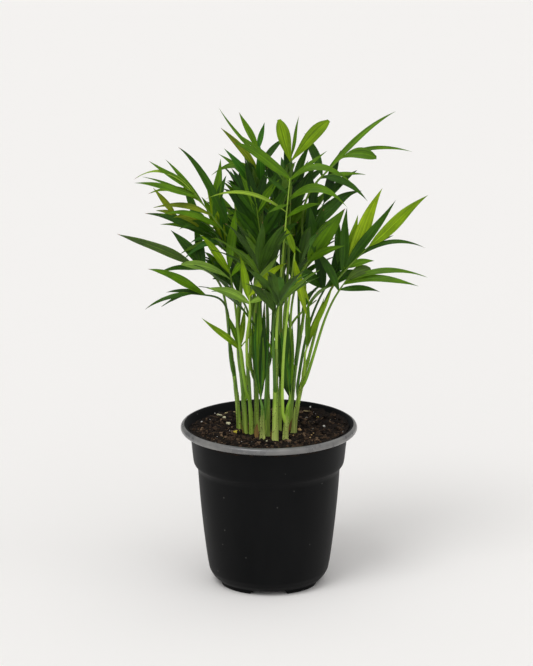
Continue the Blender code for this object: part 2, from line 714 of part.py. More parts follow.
def main():
    clear_scene()
    parts = collection("parlour palm")
    cutters = collection("cutters")
    plastic = material("black plastic", (0.012, 0.013, 0.014), 0.45)
    earth = material("potting soil", (0.035, 0.024, 0.016), 0.95)
    cane = material("green cane", (0.22, 0.32, 0.06), 0.5)
    blade = material("green leaf", (0.07, 0.19, 0.02), 0.42)
    build_pot(parts, cutters, plastic)
    build_soil(parts, earth)
    for index in range(len(STEM_FEET)):
        build_stem(index, parts, cane)
    fronds = planned_fronds()
    for number, frond in enumerate(fronds, 1):
        build_frond(number, frond, parts, blade)


if __name__ == "__main__":
    main()
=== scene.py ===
"""Looks of the parlour palm in its black nursery pot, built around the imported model.

Metres, +Z up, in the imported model's frame. Lengths in the tables are millimetres, made metres by MM, and
angles are degrees. The foliage grows again by the source's rule, from the same named values, with finer
blades and ribs.
"""

import json
import math
import random
from dataclasses import dataclass, field

import bmesh
import bpy
from mathutils import Matrix, Vector, noise
from mathutils.bvhtree import BVHTree

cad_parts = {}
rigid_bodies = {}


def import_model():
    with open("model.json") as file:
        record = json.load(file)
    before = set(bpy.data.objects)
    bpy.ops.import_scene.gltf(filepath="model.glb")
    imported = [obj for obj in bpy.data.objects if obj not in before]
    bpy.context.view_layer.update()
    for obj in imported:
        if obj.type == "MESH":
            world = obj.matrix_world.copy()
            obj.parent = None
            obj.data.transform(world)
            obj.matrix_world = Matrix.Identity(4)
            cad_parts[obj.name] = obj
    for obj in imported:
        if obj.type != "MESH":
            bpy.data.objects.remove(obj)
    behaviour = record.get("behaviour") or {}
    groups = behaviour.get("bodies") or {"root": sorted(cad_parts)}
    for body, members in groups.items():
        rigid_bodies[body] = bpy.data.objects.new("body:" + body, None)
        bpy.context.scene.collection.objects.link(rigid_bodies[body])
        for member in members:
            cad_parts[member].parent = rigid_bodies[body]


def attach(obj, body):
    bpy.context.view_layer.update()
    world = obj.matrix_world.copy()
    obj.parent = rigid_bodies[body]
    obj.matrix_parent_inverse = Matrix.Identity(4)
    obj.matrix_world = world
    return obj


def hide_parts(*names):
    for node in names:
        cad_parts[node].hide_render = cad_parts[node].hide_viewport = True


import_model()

MM = 0.001
UP = Vector((0, 0, 1))

# The plan's named values, as in the part's source.
GAP = 0.3
VIEW_ELEVATION = math.radians(17.5)

POT_HEIGHT = 121.0
WALL = 1.5
LIP_RADIUS = 65.0
LIP_ROLL = 2.7
LIP_ARC = (140, -70)
COLLAR_TOP = (57.9, 115.0)
COLLAR_FOOT = (55.8, 94.5)
COLLAR_STEP = ((55.2, 91.6), (53.6, 89.6))
BODY_TOP = (52.3, 87.0)
BODY_FOOT = (45.1, 16.5)
BODY_BOW = 0.75
CORNER = ((43.9, 10.5), (41.6, 6.4))
UNDERSIDE = (38.6, 3.3)
FOOT_RADII = (32.5, 37.2)
FOOT_SINK = 0.8
NOTCH_HALF_WIDTHS = (14.5, 10.5)
DRAIN_RADIUS = 4.0
DRAIN_CIRCLE = 22.0
DRAIN_COUNT = 6

SOIL_LEVEL = 113.0

STEM_FEET = (
    (-21.9, 9.3), (-17.3, 0.6), (-12.9, -5.4), (-8.7, 4.6), (-4.6, -19.5), (-0.8, -6.0), (4.6, -21.0),
    (7.6, 7.6), (12.0, -18.6), (15.4, 14.6), (18.2, 0.4), (-9.0, 18.6), (4.4, 21.5),
)
STEM_HEIGHTS = (62, 72, 58, 84, 25, 80, 72, 90, 25, 78, 58, 72, 76)
STEM_RADII = (2.0, 2.1, 1.9, 2.1, 2.2, 2.0, 2.6, 1.9, 2.3, 2.0, 2.2, 2.0, 2.0)
STEM_TIP_SHARE = 0.60
STEM_SPREADS = (0.42, 0.40, 0.36, 0.30, 0.25, 0.30, 0.20, 0.60, 0.45, 0.70, 0.95, 0.35, 0.40)
STEM_SPREAD_HEIGHT = 90
STEM_BEND = 1.4
STEM_TAPER = 0.8
STEM_FLAT = 2.5
STEM_POINTS = 5

STALK_RADIUS = 1.2
CROOK_RADIUS = 0.72
RIB_TIP_RADIUS = 0.40
STALK_POINTS = 7
RIB_POINTS = 3
TOP_RUN = 0.6
STALK_CLEAR = 0.15
LEAVING_TURN = 0.12
LEAVING_PULL = 0.42
CROOK_PULL = 0.30
RIB_SAG = 0.05
SIDEWAYS = Vector((0.3, 1, 0.1))
TEST_SIDES = 8

LEAF_THICKNESS = 0.8
LEAF_NECK = 1.1
LEAF_SLIMNESS = 90
BLUNT_SWELL = (0.97, 1.5, 0.6)
POINTED_SWELL = (0.995, 0.8, 0.9)
LEAF_STATIONS = 4
CLEARANCE = 0.25
TRIES = 30
TRY_TURN = 47
TRY_STEP = 0.35
TRY_RISE = 0.3
FEWEST_LEAFLETS = 2


@dataclass
class Leaflet:
    share: float
    chord: Vector
    width: float
    arch: float
    face: Vector
    blunt: bool = False
    tint: str = "d"


@dataclass
class Frond:
    stem: int
    leave: float
    crook: Vector
    rachis: Vector
    leaflets: list
    rib_tint: str = "g"


def seen(across, up, back):
    """The vector that reaches this far across and up the picture, and this far back from the viewer."""
    height = (up - back * math.sin(VIEW_ELEVATION)) / math.cos(VIEW_ELEVATION)
    return Vector((across, back, height))


def seen_chord(angle, back, length):
    """The vector at this angle in the picture, of this length there, that also turns this far back."""
    turn = math.radians(angle)
    return seen(length * math.cos(turn), length * math.sin(turn), length * math.tan(math.radians(back)))


def facing(tilt):
    """The unit vector that a blade faces: level towards the front at 0, and straight up at 90."""
    return Vector((0, -math.cos(math.radians(tilt)), math.sin(math.radians(tilt))))


def between(low, high, share):
    return low + (high - low) * share


def turn_of(step, steps):
    """The angle of one of so many equal steps round a circle."""
    return 2 * math.pi * step / steps


def on_circle(radius, turn):
    return radius * math.cos(turn), radius * math.sin(turn)


# The fronds that the photo shows one by one, as in the source. A row is the stem, the share of its height
# where the stalk leaves it, the crook where the leaflets start (across, up, back), the midrib (angle, back,
# length), the tilt of the blades' faces, and the leaflets: the share along the midrib, angle, back, length,
# width and arch, with a last True on a blunt one.
SHOWN_FRONDS = (
    (6, 1.0, (10, 236, -30), (85, -6, 58), 25, (
        (0.19, -37, -20, 16, 3, 1), (0.48, 19, -25, 28, 4, 3), (0.55, 172, -10, 60, 5, 10),
        (0.65, 205, -30, 16, 3, 1), (0.70, -7, -15, 43, 7, 12), (0.78, 142, -10, 23, 3.4, 1),
        (0.97, -5, -8, 47, 5.4, 12), (0.99, 37, 5, 34, 3.8, 0), (1.0, 148, 0, 49, 8, 3),
        (0.96, 137, 12, 50, 5, 2))),
    (7, 1.0, (16, 303, 2), (88, 0, 6), 12, (
        (0.2, 106, -5, 32, 9.6, 1, True), (0.4, 46.5, 0, 40, 9.6, 2, True), (1.0, 79, 5, 30, 2.8, 0))),
    (7, 0.80, (14, 262, 14), (84, 4, 28), 30, (
        (0.0, 112, 12, 48, 8, 3), (0.1, 62, 12, 44, 8, 3), (0.5, 126, 20, 44, 7, 4), (0.5, 46, 20, 38, 7, 4),
        (0.95, 100, 8, 34, 7, 2), (1.0, 66, 5, 32, 6, 2))),
    (3, 1.0, (-5, 279, 6), (95, 4, 37), 25, (
        (0.0, 128, -6, 45, 7.4, 2), (0.1, 138, 10, 43, 5, 3), (0.05, 93, -12, 38, 7.4, 1),
        (0.40, 177, 4, 36, 5.4, 9), (0.42, 129, 6, 46, 5.6, 4), (0.60, 50, 30, 30, 5, 3),
        (0.85, 129, 12, 46, 2.8, -2), (1.0, 117, -3, 30, 5.2, 1), (0.98, 76, 10, 21, 4.4, 1))),
    (1, 1.0, (-25, 244, -6), (126, -4, 50), 35, (
        (0.03, 120, -6, 80, 6.2, 12), (0.30, 168, -16, 46, 5.4, 6), (0.55, 172, 8, 44, 5, 5),
        (0.75, 130, 10, 44, 4.4, 1), (0.80, 170, 12, 40, 5, 7), (0.92, 168, -6, 47, 5.2, 2),
        (0.95, 161, 4, 42, 2.6, 1), (1.0, 145, 0, 40, 4.8, 1), (0.86, 163, 0, 50, 5.4, 13),
        (0.50, 84, 14, 44, 7, 2))),
    (1, 0.72, (-32, 246, 8), (147, 8, 43), 30, (
        (0.10, 160, 6, 59, 7.4, 4), (0.30, 168, 14, 38, 4.4, 3), (0.22, 155, -6, 33, 10, 7),
        (0.0, 192, 12, 34, 5, 4), (1.0, 130, 4, 26, 4.8, 0), (0.98, 167, 8, 16, 3.4, 1),
        (0.0, 108, 6, 46, 8, 3), (0.5, 112, 14, 36, 6, 3))),
    (0, 1.0, (-46, 227, 12), (155, 16, 12), 40, (
        (0.8, 157.5, 12, 62, 8.4, 2), (0.0, 131, 18, 40, 8.4, 2), (0.1, 104, 20, 34, 7, 3),
        (0.2, 184, 24, 34, 5, 3))),
    (0, 0.80, (-42, 208, -10), (172, -8, 15), 45, (
        (0.3, 156, -6, 46, 7.8, 3), (0.5, 176, 16, 26, 4, 2), (0.98, 199, -10, 36, 4, 3),
        (0.9, 187, 6, 24, 3.2, 1), (1.0, 203, 12, 24, 3.4, 2))),
    (2, 0.60, (-27, 217, -14), (100, 0, 12), 35, (
        (0.2, 163, -10, 38, 6.6, 4, True), (0.6, 128, -4, 36, 6.4, 2), (0.9, 84, -6, 44, 7.4, 2),
        (0.4, 40, -10, 30, 6, 3))),
    (2, 0.80, (-20, 168, -6), (100, -3, 4), 35, (
        (0.0, 140.5, -4, 38, 5.2, 1), (0.5, 112, 4, 28, 4.6, 0), (1.0, 84, -2, 30, 4.4, 0),
        (0.8, 46.7, -6, 34, 1.4, 2))),
    (2, 1.0, (-14, 200, -32), (92, -16, 8), 25, (
        (0.2, 160.5, -10, 33, 7.4, 3), (0.5, 102, -8, 33, 6.2, 1), (0.8, 54.5, -10, 38, 6, 1),
        (0.9, 40, -20, 37, 5.8, 3), (0.3, 19, -20, 24, 5, 1))),
    (8, 0.86, (18, 232, -36), (84, -10, 6), 15, (
        (0.3, -77, -5, 44, 5.8, -3), (0.2, -70, 6, 33, 5.2, -3), (1.0, 110, -6, 20, 5, 1))),
    (9, 1.0, (37, 293, 4), (45, 2, 24), 25, (
        (0.2, 41, 6, 69, 4.8, 5), (0.0, 5, 6, 34, 3.6, 2), (0.1, -29, -8, 38, 5.8, 5),
        (0.9, 1, -4, 26, 8.4, 4, True), (1.0, 4, 6, 51, 3.2, 5), (0.1, 112, 14, 34, 7, 3))),
    (9, 0.70, (28, 250, 6), (66, 4, 30), 25, (
        (0.0, 80, 4, 44, 8.4, 2), (0.2, 40, 6, 46, 8, 4), (0.5, 98, 10, 38, 7, 2), (0.6, 30, 14, 38, 6, 4),
        (1.0, 72, 0, 40, 7, 2), (1.0, 44, 6, 34, 6, 3))),
    (10, 1.0, (53.5, 224, -8), (47.5, -6, 29), 20, (
        (0.0, 86, 4, 48, 7.6, 1), (0.05, 54, -4, 64, 7.6, 1), (0.2, 66.5, 6, 63, 11, 2),
        (0.1, 77, 12, 42, 7.4, 1), (1.0, 40.5, -8, 55.5, 9.4, 1),
        (0.2, 14, -14, 20, 5.4, 2), (0.6, 7, -4, 49, 3.8, 8), (0.9, 26, 8, 22, 3, 1))),
    (10, 0.75, (50, 210, -10), (57, -8, 10), 45, (
        (0.8, -2, -10, 55, 6.8, 5), (1.0, 3, -6, 60, 5, 7), (0.3, -3, 8, 30, 5.4, 2),
        (0.9, 28, 4, 22, 8, 3, True), (0.2, 120, 10, 34, 7, 3), (0.6, 84, 14, 30, 7, 2))),
    (10, 0.60, (40, 212, 2), (60, 4, 22), 25, (
        (0.0, 100, -8, 36, 8, 2), (0.1, 22, -4, 32, 8, 4), (0.5, 70, 8, 38, 8.4, 2), (0.1, 150, -6, 30, 9, 2),
        (0.6, 36, 10, 34, 7.4, 4), (1.0, 90, 4, 34, 7, 1))),
    (8, 0.7, (27, 230, -20), (55, -6, 12), 15, (
        (0.2, 55, -4, 47, 13.4, 2), (0.6, 76, 8, 36, 8, 1), (0.1, 24, -20, 30, 6, 3),
        (0.9, 96, 6, 34, 7, 2))),
    (5, 1.0, (-4, 234, -6), (97, -8, 40), 25, (
        (0.0, 140, -16, 40, 8, 5), (0.05, 44, -12, 36, 8, 4), (0.35, 126, -10, 46, 8, 4),
        (0.4, 60, -10, 44, 8, 3), (0.75, 118, -4, 42, 7, 3), (0.8, 66, -6, 38, 7, 3),
        (1.0, 104, 0, 36, 6.4, 1))),
    (4, 1.0, (-6, 133, -18), (90, 2, 5), 8, (
        (0.0, 93.2, 3, 66, 6, 0), (0.5, 90.6, 1, 74, 6.4, 0), (1.0, 87.6, 3, 68, 6, 0))),
    (8, 1.0, (16.5, 134, -18), (96, 2, 5), 8, (
        (0.0, 107, 2, 52, 6.4, 0), (0.4, 101, 0, 56, 6.4, 0), (0.8, 93, -3, 58, 6, 0),
        (1.0, 86, 2, 56, 5, 0))),
    (10, 0.86, (27, 168, -6), (72, 0, 5), 20, (
        (0.0, 71, -2, 42, 4.2, 1), (1.0, 67, -6, 46, 4.2, 1), (0.5, 88, -8, 38, 4.4, 0))),
)

# One letter for each leaflet of those fronds, in the same order, and after the dash one for the midrib. The
# tint k is painted shade, for leaflets inside the crown; d is partly painted shade too, and so is a midrib's d.
SHOWN_TINTS = (
    "mmlmmdmmmm-y", "bbm-g", "kdddkd-g", "cmcmodmmc-g", "dmombmmmlm-g", "dmomooyd-g", "gddd-g", "mddmd-d",
    "pbmm-g", "bmbb-y", "pbpyp-y", "yyb-y", "mmdmmd-g", "kdkdkd-d", "ddybbmdd-g", "mmdgdd-g", "kdkdkd-d",
    "mdmd-g", "kdkdkdk-g", "dmd-d", "kddk-g", "bbm-y",
)

# The fronds behind and between those, in rings from low to high, as in the source. A row is the count, the
# first heading, the distance, height and rise, the midrib's length, the pairs and a leaflet's length.
FILL_RINGS = (
    (6, 52, 36, 208, 44, 26, 3, 54),
    (6, 66, 30, 234, 52, 30, 4, 58),
    (4, 60, 22, 258, 66, 30, 3, 54),
    (3, 90, 14, 280, 76, 26, 3, 44),
)
FILL_SEED = 23
FILL_CENTRE = Vector((1, 3, 0))
FILL_HEADING_JITTER = 13
FILL_SIDE_SHARE = 0.62
FILL_LEAF_WIDTH = 8.0
FILL_ANGLES = (46, 16)
FILL_ANGLE_JITTER = 7
FILL_LIFT = 0.25
FILL_LENGTH_SHARES = (0.82, 0.3)
FILL_SWELL = (0.2, 0.7)
FILL_LENGTH_JITTER = (0.85, 1.1)
FILL_WIDTH_JITTER = (0.85, 1.15)
FILL_FACE_TURN = 0.35
FILL_FACE_LIFT = 0.15
FILL_LEAF_SHARES = (0.06, 0.96)
FILL_ARCH = (2, 6)
FILL_HEIGHT_JITTER = 6
FILL_LEAVES_AT = (0.35, 0.95)
FOOT_SHARE = 0.45
USED_COST = 6
SPACE_CENTRE = 3
# The fill fronds stand inside the crown, so their leaflets take mostly the painted-shade tint k and the partly
# painted-shade tint d.
FILL_TINTS = "kdmkdkcdkmdkd"
FILL_TINT_STEP = 5
# Two fill fronds in three get the painted-shade midrib d, as they stand inside the crown.
FILL_RIB_TINTS = "ddg"

# The plant's outline from the front: how high in the picture, and half its width there.
SPACE = ((165, 30), (200, 58), (238, 72), (272, 68), (298, 46), (316, 26), (328, 6))


def shown_frond(stem, leave, crook, rib, tilt, rows, tints):
    leaf_tints, rib_tint = tints.split("-")
    leaflets = []
    for (share, angle, back, length, width, arch, *blunt), tint in zip(rows, leaf_tints):
        chord = seen_chord(angle, back, length)
        leaflets.append(Leaflet(share, chord, width, arch, facing(tilt), bool(blunt), tint))
    return Frond(stem, leave, seen(*crook), seen_chord(*rib), leaflets, rib_tint)


def level_vector(heading, rise):
    """The unit vector with this heading that rises at this angle."""
    lift = math.radians(rise)
    return Vector((*on_circle(math.cos(lift), math.radians(heading)), math.sin(lift)))


def nearest_stem(point, used):
    """The stem for a crook at this point: the nearest, where each frond that a stem has makes it farther."""
    def cost(index):
        foot = Vector(STEM_FEET[index]).to_3d()
        flat = Vector((point.x, point.y, 0)) * FOOT_SHARE
        return (foot - flat).length + USED_COST * used[index]
    return min(range(len(STEM_FEET)), key=cost)


def fill_leaflets(rib_direction, pairs, length, rng):
    """Pairs of leaflets that turn towards the midrib's tip."""
    side = rib_direction.cross(UP).normalized()
    face = side.cross(rib_direction).normalized()
    low, swell = FILL_LENGTH_SHARES
    start, run = FILL_SWELL
    leaflets = []
    for pair in range(pairs):
        share = pair / max(pairs - 1, 1)
        for hand in (-1, 1):
            off = math.radians(between(*FILL_ANGLES, share) + rng.uniform(-1, 1) * FILL_ANGLE_JITTER)
            lift = rng.uniform(0, FILL_LIFT)
            heading = rib_direction * math.cos(off) + side * hand * math.sin(off) + UP * lift
            size = length * (low + swell * math.sin(math.pi * (start + run * share)))
            size *= rng.uniform(*FILL_LENGTH_JITTER)
            width = FILL_LEAF_WIDTH * rng.uniform(*FILL_WIDTH_JITTER)
            leaf_face = face - side * hand * FILL_FACE_TURN + UP * FILL_FACE_LIFT
            leaflets.append(Leaflet(between(*FILL_LEAF_SHARES, share), heading.normalized() * size, width,
                                    rng.uniform(*FILL_ARCH), leaf_face))
    return leaflets


def fill_fronds():
    """The ring fronds, each from the stem that is nearest and least used."""
    rng = random.Random(FILL_SEED)
    used = [sum(row[0] == index for row in SHOWN_FRONDS) for index in range(len(STEM_FEET))]
    fronds = []
    for count, first, distance, height, rise, rib_length, pairs, length in FILL_RINGS:
        for k in range(count):
            heading = first + 360 * k / count + rng.uniform(-1, 1) * FILL_HEADING_JITTER
            reach = between(1, FILL_SIDE_SHARE, abs(math.cos(math.radians(heading))))
            crook = FILL_CENTRE + level_vector(heading, 0) * distance * reach
            crook.z = height + rng.uniform(-1, 1) * FILL_HEIGHT_JITTER
            stem = nearest_stem(crook, used)
            used[stem] += 1
            rib_direction = level_vector(heading, rise)
            leaflets = fill_leaflets(rib_direction, pairs, length * reach, rng)
            leave = rng.uniform(*FILL_LEAVES_AT) if used[stem] > 1 else 1.0
            fronds.append(Frond(stem, leave, crook, rib_direction * rib_length * reach, leaflets))
    return fronds


def inside_space(point):
    """Whether a leaflet that ends here stays in the plant's outline, as seen from the front."""
    up = point.z * math.cos(VIEW_ELEVATION) + point.y * math.sin(VIEW_ELEVATION)
    for (low, low_half), (high, high_half) in zip(SPACE, SPACE[1:]):
        if low <= up <= high:
            half = between(low_half, high_half, (up - low) / (high - low))
            return abs(point.x - SPACE_CENTRE) <= half
    return False


def stem_point(index, share):
    """A point on a stem's axis, from its foot at 0 to its top at 1."""
    x, y = STEM_FEET[index]
    height = STEM_HEIGHTS[index]
    lean = 1 + STEM_SPREADS[index] * share ** STEM_BEND * height / STEM_SPREAD_HEIGHT
    return Vector((x * lean, y * lean, SOIL_LEVEL + GAP + height * share))


def stem_radius(index, share):
    return STEM_RADII[index] * (1 + (STEM_TIP_SHARE - 1) * share ** STEM_TAPER)


def rib_start(frond):
    """Where the stalk leaves the stem, just clear of it, and its direction there."""
    near = stem_point(frond.stem, frond.leave)
    along = (stem_point(frond.stem, 1) - stem_point(frond.stem, TOP_RUN)).normalized()
    if frond.leave >= 1:
        return near + along * GAP, along
    out = frond.crook - near
    out -= along * out.dot(along)
    out.normalize()
    clear = stem_radius(frond.stem, frond.leave) + STALK_RADIUS + GAP + STALK_CLEAR
    return near + out * clear, (along + out * LEAVING_TURN).normalized()


def bezier(a, b, c, d, t):
    s = 1 - t
    return a * s ** 3 + b * 3 * s * s * t + c * 3 * s * t * t + d * t ** 3


def rib_point(frond, share):
    """A point on the midrib, from the crook at 0 to its tip at 1."""
    sag = UP * frond.rachis.length * RIB_SAG * share * share
    return frond.crook + frond.rachis * share - sag


def rib_line(frond, stalk_points=STALK_POINTS, rib_points=RIB_POINTS):
    """The stalk's and midrib's points, with the radius at each."""
    start, leaving = rib_start(frond)
    reach = (frond.crook - start).length
    first = start + leaving * reach * LEAVING_PULL
    last = frond.crook - frond.rachis.normalized() * reach * CROOK_PULL
    stalk = [k / stalk_points for k in range(stalk_points)]
    rib = [k / rib_points for k in range(rib_points + 1)]
    line = [bezier(start, first, last, frond.crook, share) for share in stalk]
    line += [rib_point(frond, share) for share in rib]
    radii = [between(STALK_RADIUS, CROOK_RADIUS, share) for share in stalk]
    radii += [between(CROOK_RADIUS, RIB_TIP_RADIUS, share) for share in rib]
    return line, radii


def leaf_width(leaflet, t):
    """The blade's width, widest before the middle, or near the tip on a blunt one."""
    last, skew, fullness = BLUNT_SWELL if leaflet.blunt else POINTED_SWELL
    swell = math.sin(math.pi * min(t, last) ** skew) ** fullness
    return max(leaflet.width * swell, LEAF_NECK * (1 - t))


def leaf_middle(leaflet, base, t):
    """A point on the blade's arched middle, from its base at 0 to its tip at 1."""
    return base + leaflet.chord * t + UP * 4 * leaflet.arch * t * (1 - t)


def ring_faces(rings, sides, over=False):
    """The faces between rings of corners, turned over where the rings run the other way round."""
    faces = []
    for near in range(0, sides * (rings - 1), sides):
        far = near + sides
        for j in range(sides):
            after = (j + 1) % sides
            a, b = (after, j) if over else (j, after)
            faces.append((near + a, near + b, far + b, far + a))
    return faces


def blade_faces(stations, sides):
    """The faces of a closed blade: its base, the rings of its stations and its tip."""
    last = sides * (stations - 1)
    ends = [(last + (j + 1) % sides, last + j, last + sides) for j in range(sides)]
    return [tuple(range(sides))] + ring_faces(stations, sides, over=True) + ends


def tube_faces(rings, sides):
    """The faces of a closed tube: its foot, its sides and its top."""
    last = sides * (rings - 1)
    top = tuple(range(last, last + sides))
    return [tuple(range(sides))[::-1]] + ring_faces(rings, sides) + [top]


def leaf_shape(leaflet, base, grow=0.0):
    """A plain blade for the tests: left edge, right edge and keel at each station, and the tip."""
    along = leaflet.chord.normalized()
    side = along.cross(leaflet.face).normalized()
    thickness = max(LEAF_THICKNESS, leaflet.chord.length / LEAF_SLIMNESS) + grow
    rise = side.cross(along).normalized() * thickness * 0.5
    corners = []
    for k in range(LEAF_STATIONS):
        t = k / LEAF_STATIONS
        middle = leaf_middle(leaflet, base, t)
        reach = side * (leaf_width(leaflet, t) / 2 + grow)
        corners += [middle - reach + rise, middle + reach + rise, middle - rise]
    corners.append(base + leaflet.chord + along * grow)
    return corners, blade_faces(LEAF_STATIONS, 3)


def tube_rings(line, radii, sides, channel=0.0):
    """Rings of corners round a line, with a channel along the side that faces up and to the front."""
    corners = []
    for k, (point, radius) in enumerate(zip(line, radii)):
        along = (line[min(k + 1, len(line) - 1)] - line[max(k - 1, 0)]).normalized()
        side = along.cross(SIDEWAYS).normalized()
        other = along.cross(side)
        for j in range(sides):
            turn = turn_of(j, sides)
            reach = radius * (1 - channel * max(math.cos(turn - math.pi / 2), 0) ** 2)
            corners.append(point + (side * math.cos(turn) + other * math.sin(turn)) * reach)
    return corners


def tube_shape(line, radii, grow=0.0):
    """A plain open tube for the tests."""
    grown = [radius + grow for radius in radii]
    return tube_rings(line, grown, TEST_SIDES), ring_faces(len(line), TEST_SIDES)


def tree_of(shape):
    return BVHTree.FromPolygons(*shape)


def touches(shape, placed):
    tree = tree_of(shape)
    return any(tree.overlap(other) for other in placed)


def stem_line(index):
    shares = [0, STEM_FLAT / STEM_HEIGHTS[index]]
    shares += [k / (STEM_POINTS - 1) for k in range(1, STEM_POINTS)]
    line = [stem_point(index, share) for share in shares]
    line[1].xy = line[0].xy
    return line, [stem_radius(index, share) for share in shares]


def spiral(attempt):
    """A step away from the wanted place that grows with each attempt."""
    turn = math.radians(TRY_TURN * attempt)
    return Vector((*on_circle(1, turn), TRY_RISE * math.sin(2 * turn))) * TRY_STEP * attempt


def clear_frond(frond, placed):
    """Moves the crook a little until the rib is clear, then keeps the leaflets that touch nothing."""
    wanted = frond.crook.copy()
    for attempt in range(TRIES):
        frond.crook = wanted + spiral(attempt)
        if not touches(tube_shape(*rib_line(frond), grow=CLEARANCE), placed):
            break
    else:
        return None
    frond.leaflets = [leaf for leaf in frond.leaflets
                      if not touches(leaf_shape(leaf, rib_point(frond, leaf.share), CLEARANCE), placed)]
    return frond


def leaf_tree(frond, leaflet):
    return tree_of(leaf_shape(leaflet, rib_point(frond, leaflet.share)))


def frond_trees(frond):
    """The test shapes of a frond that has its place."""
    rib = tree_of(tube_shape(*rib_line(frond)))
    return [rib] + [leaf_tree(frond, leaflet) for leaflet in frond.leaflets]


def planned_fills():
    """The ring fronds with their tints, and with the leaflets that stay in the plant's space."""
    fills = fill_fronds()
    for number, frond in enumerate(fills):
        for place, leaflet in enumerate(frond.leaflets, FILL_TINT_STEP * number):
            leaflet.tint = FILL_TINTS[place % len(FILL_TINTS)]
        frond.rib_tint = FILL_RIB_TINTS[number % len(FILL_RIB_TINTS)]
        frond.leaflets = [leaf for leaf in frond.leaflets
                          if inside_space(rib_point(frond, leaf.share) + leaf.chord)]
    return fills


# More leaflets than in the source, shorter and narrower, grow between those of the inner fronds and of the
# fans that stand among the canes, both told by their places in the plan, and of all fill fronds.
INNER_FRONDS = (4, 5, 18)
FAN_FRONDS = (19, 20)
FINER_TURNS = (-13, 12)
FINER_TURN_JITTER = (0.7, 1.3)
FAN_TURNS = (-4, 4)
FILL_TURNS = (13,)
FINER_LENGTHS = (0.72, 0.92)
FINER_SHIFT = 0.12
FINER_WIDTH = 0.85
FINER_CLEARANCE = 0.08
# The finer leaflets grow inside the crown, so they also take the painted-shade tint k and the partly
# painted-shade tint d.
FINER_TINTS = "dmkdmc"


def finer_leaflets(frond, turns, others, rng):
    """More leaflets between the frond's own, a little shorter, that stay in the plant's outline and touch no
    other frond and no stem."""
    more = []
    for leaflet in frond.leaflets:
        for turn in turns:
            turn *= rng.uniform(*FINER_TURN_JITTER)
            swing = Matrix.Rotation(math.radians(turn), 3, leaflet.face.normalized())
            chord = swing @ leaflet.chord * rng.uniform(*FINER_LENGTHS)
            share = min(max(leaflet.share + FINER_SHIFT * rng.uniform(-1, 1), 0.0), 1.0)
            extra = Leaflet(share, chord, leaflet.width * FINER_WIDTH, leaflet.arch, leaflet.face,
                            tint=rng.choice(FINER_TINTS))
            base = rib_point(frond, share)
            if inside_space(base + chord) and not touches(leaf_shape(extra, base, FINER_CLEARANCE), others):
                more.append(extra)
    return more


def finer_turns(number):
    """How far the finer leaflets of a frond turn from its own, for its place in the plan."""
    if number in FAN_FRONDS:
        return FAN_TURNS
    if number in INNER_FRONDS:
        return FINER_TURNS
    return FILL_TURNS if number >= len(SHOWN_FRONDS) else ()


def planned_fronds():
    """Every frond with the leaflets that it keeps, the shown ones first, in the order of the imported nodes."""
    placed = [tree_of(tube_shape(*stem_line(index))) for index in range(len(STEM_FEET))]
    shown = [shown_frond(*row, tints) for row, tints in zip(SHOWN_FRONDS, SHOWN_TINTS)]
    fronds, own_trees = [], []
    for wanted in shown + planned_fills():
        frond = clear_frond(wanted, placed)
        if frond is None or len(frond.leaflets) < FEWEST_LEAFLETS:
            continue
        own_trees.append(frond_trees(frond))
        placed += own_trees[-1]
        fronds.append(frond)
    rng = random.Random(FILL_SEED)
    for number, frond in enumerate(fronds):
        others = [tree for tree in placed if tree not in own_trees[number]]
        more = finer_leaflets(frond, finer_turns(number), others, rng)
        placed += [leaf_tree(frond, leaflet) for leaflet in more]
        frond.leaflets += more
    return fronds


# Materials. Colours are linear. A midrib's row also has the factor of painted shade that darkens it up in the
# crown.
LEAF_COLOURS = {
    "b": ("leaf_bright", (0.150, 0.270, 0.004)),
    "m": ("leaf_mid", (0.074, 0.172, 0.003)),
    # d: the darker green of older leaflets, also used as painted shade for leaflets inside the crown.
    "d": ("leaf_dark", (0.026, 0.082, 0.003)),
    # k: a darker copy of the green, painted shade for leaflets inside the crown.
    "k": ("leaf_deep", (0.012, 0.044, 0.002)),
    "o": ("leaf_olive", (0.140, 0.195, 0.006)),
    "y": ("leaf_yellow", (0.215, 0.340, 0.008)),
    "l": ("leaf_light", (0.230, 0.370, 0.040)),
    "p": ("leaf_pale", (0.135, 0.245, 0.040)),
    "g": ("leaf_grey", (0.050, 0.098, 0.014)),
    "c": ("leaf_cool", (0.036, 0.135, 0.012)),
}
RIB_COLOURS = {
    "y": ("rib_light", (0.300, 0.470, 0.050), 1.0),
    "g": ("rib_green", (0.190, 0.350, 0.022), 0.55),
    # d: a darker copy of the stalks' green, painted shade for stalks inside the crown.
    "d": ("rib_dark", (0.070, 0.170, 0.014), 0.5),
}
UNDERSIDE_COLOUR = (0.090, 0.170, 0.030)
UNDERSIDE_SHARE = 0.25
UNDERSIDE_ROUGHNESS = 0.5
MIDRIB_LIFT = 1.30
LEAF_SPECULAR = 0.16
DRY_COLOUR = (0.190, 0.110, 0.035)
WARM_RED = 1.4
LEAF_GLOSS_CHANGES = (-0.08, 0.12)
DUST_COLOUR = (0.055, 0.055, 0.052)
STREAK_STRETCH = (1.3, 0.22, 1)
STREAK_SHIFT = (25, 25, 25)
# Lighter and darker bands along a blade: partly real streaks, partly painted pleat shade and painted highlight.
STREAK_AND_PAINTED_SHADING_TONES = ((0.32, (0.62, 0.66, 0.60)), (0.68, (1.28, 1.26, 1.05)))
# The heights between which a stalk's painted shade deepens, up in the crown.
CROWN_PAINTED_SHADE_HEIGHTS = (175, 225)
STEM_FADE_HEIGHT = 75


def shade(colour, factor):
    return tuple(min(channel * factor, 1.0) for channel in colour)


def socket_called(sockets, name):
    """The socket with this name or, where several share one, with this identifier."""
    return sockets.get(name) or next(socket for socket in sockets if socket.identifier == name)


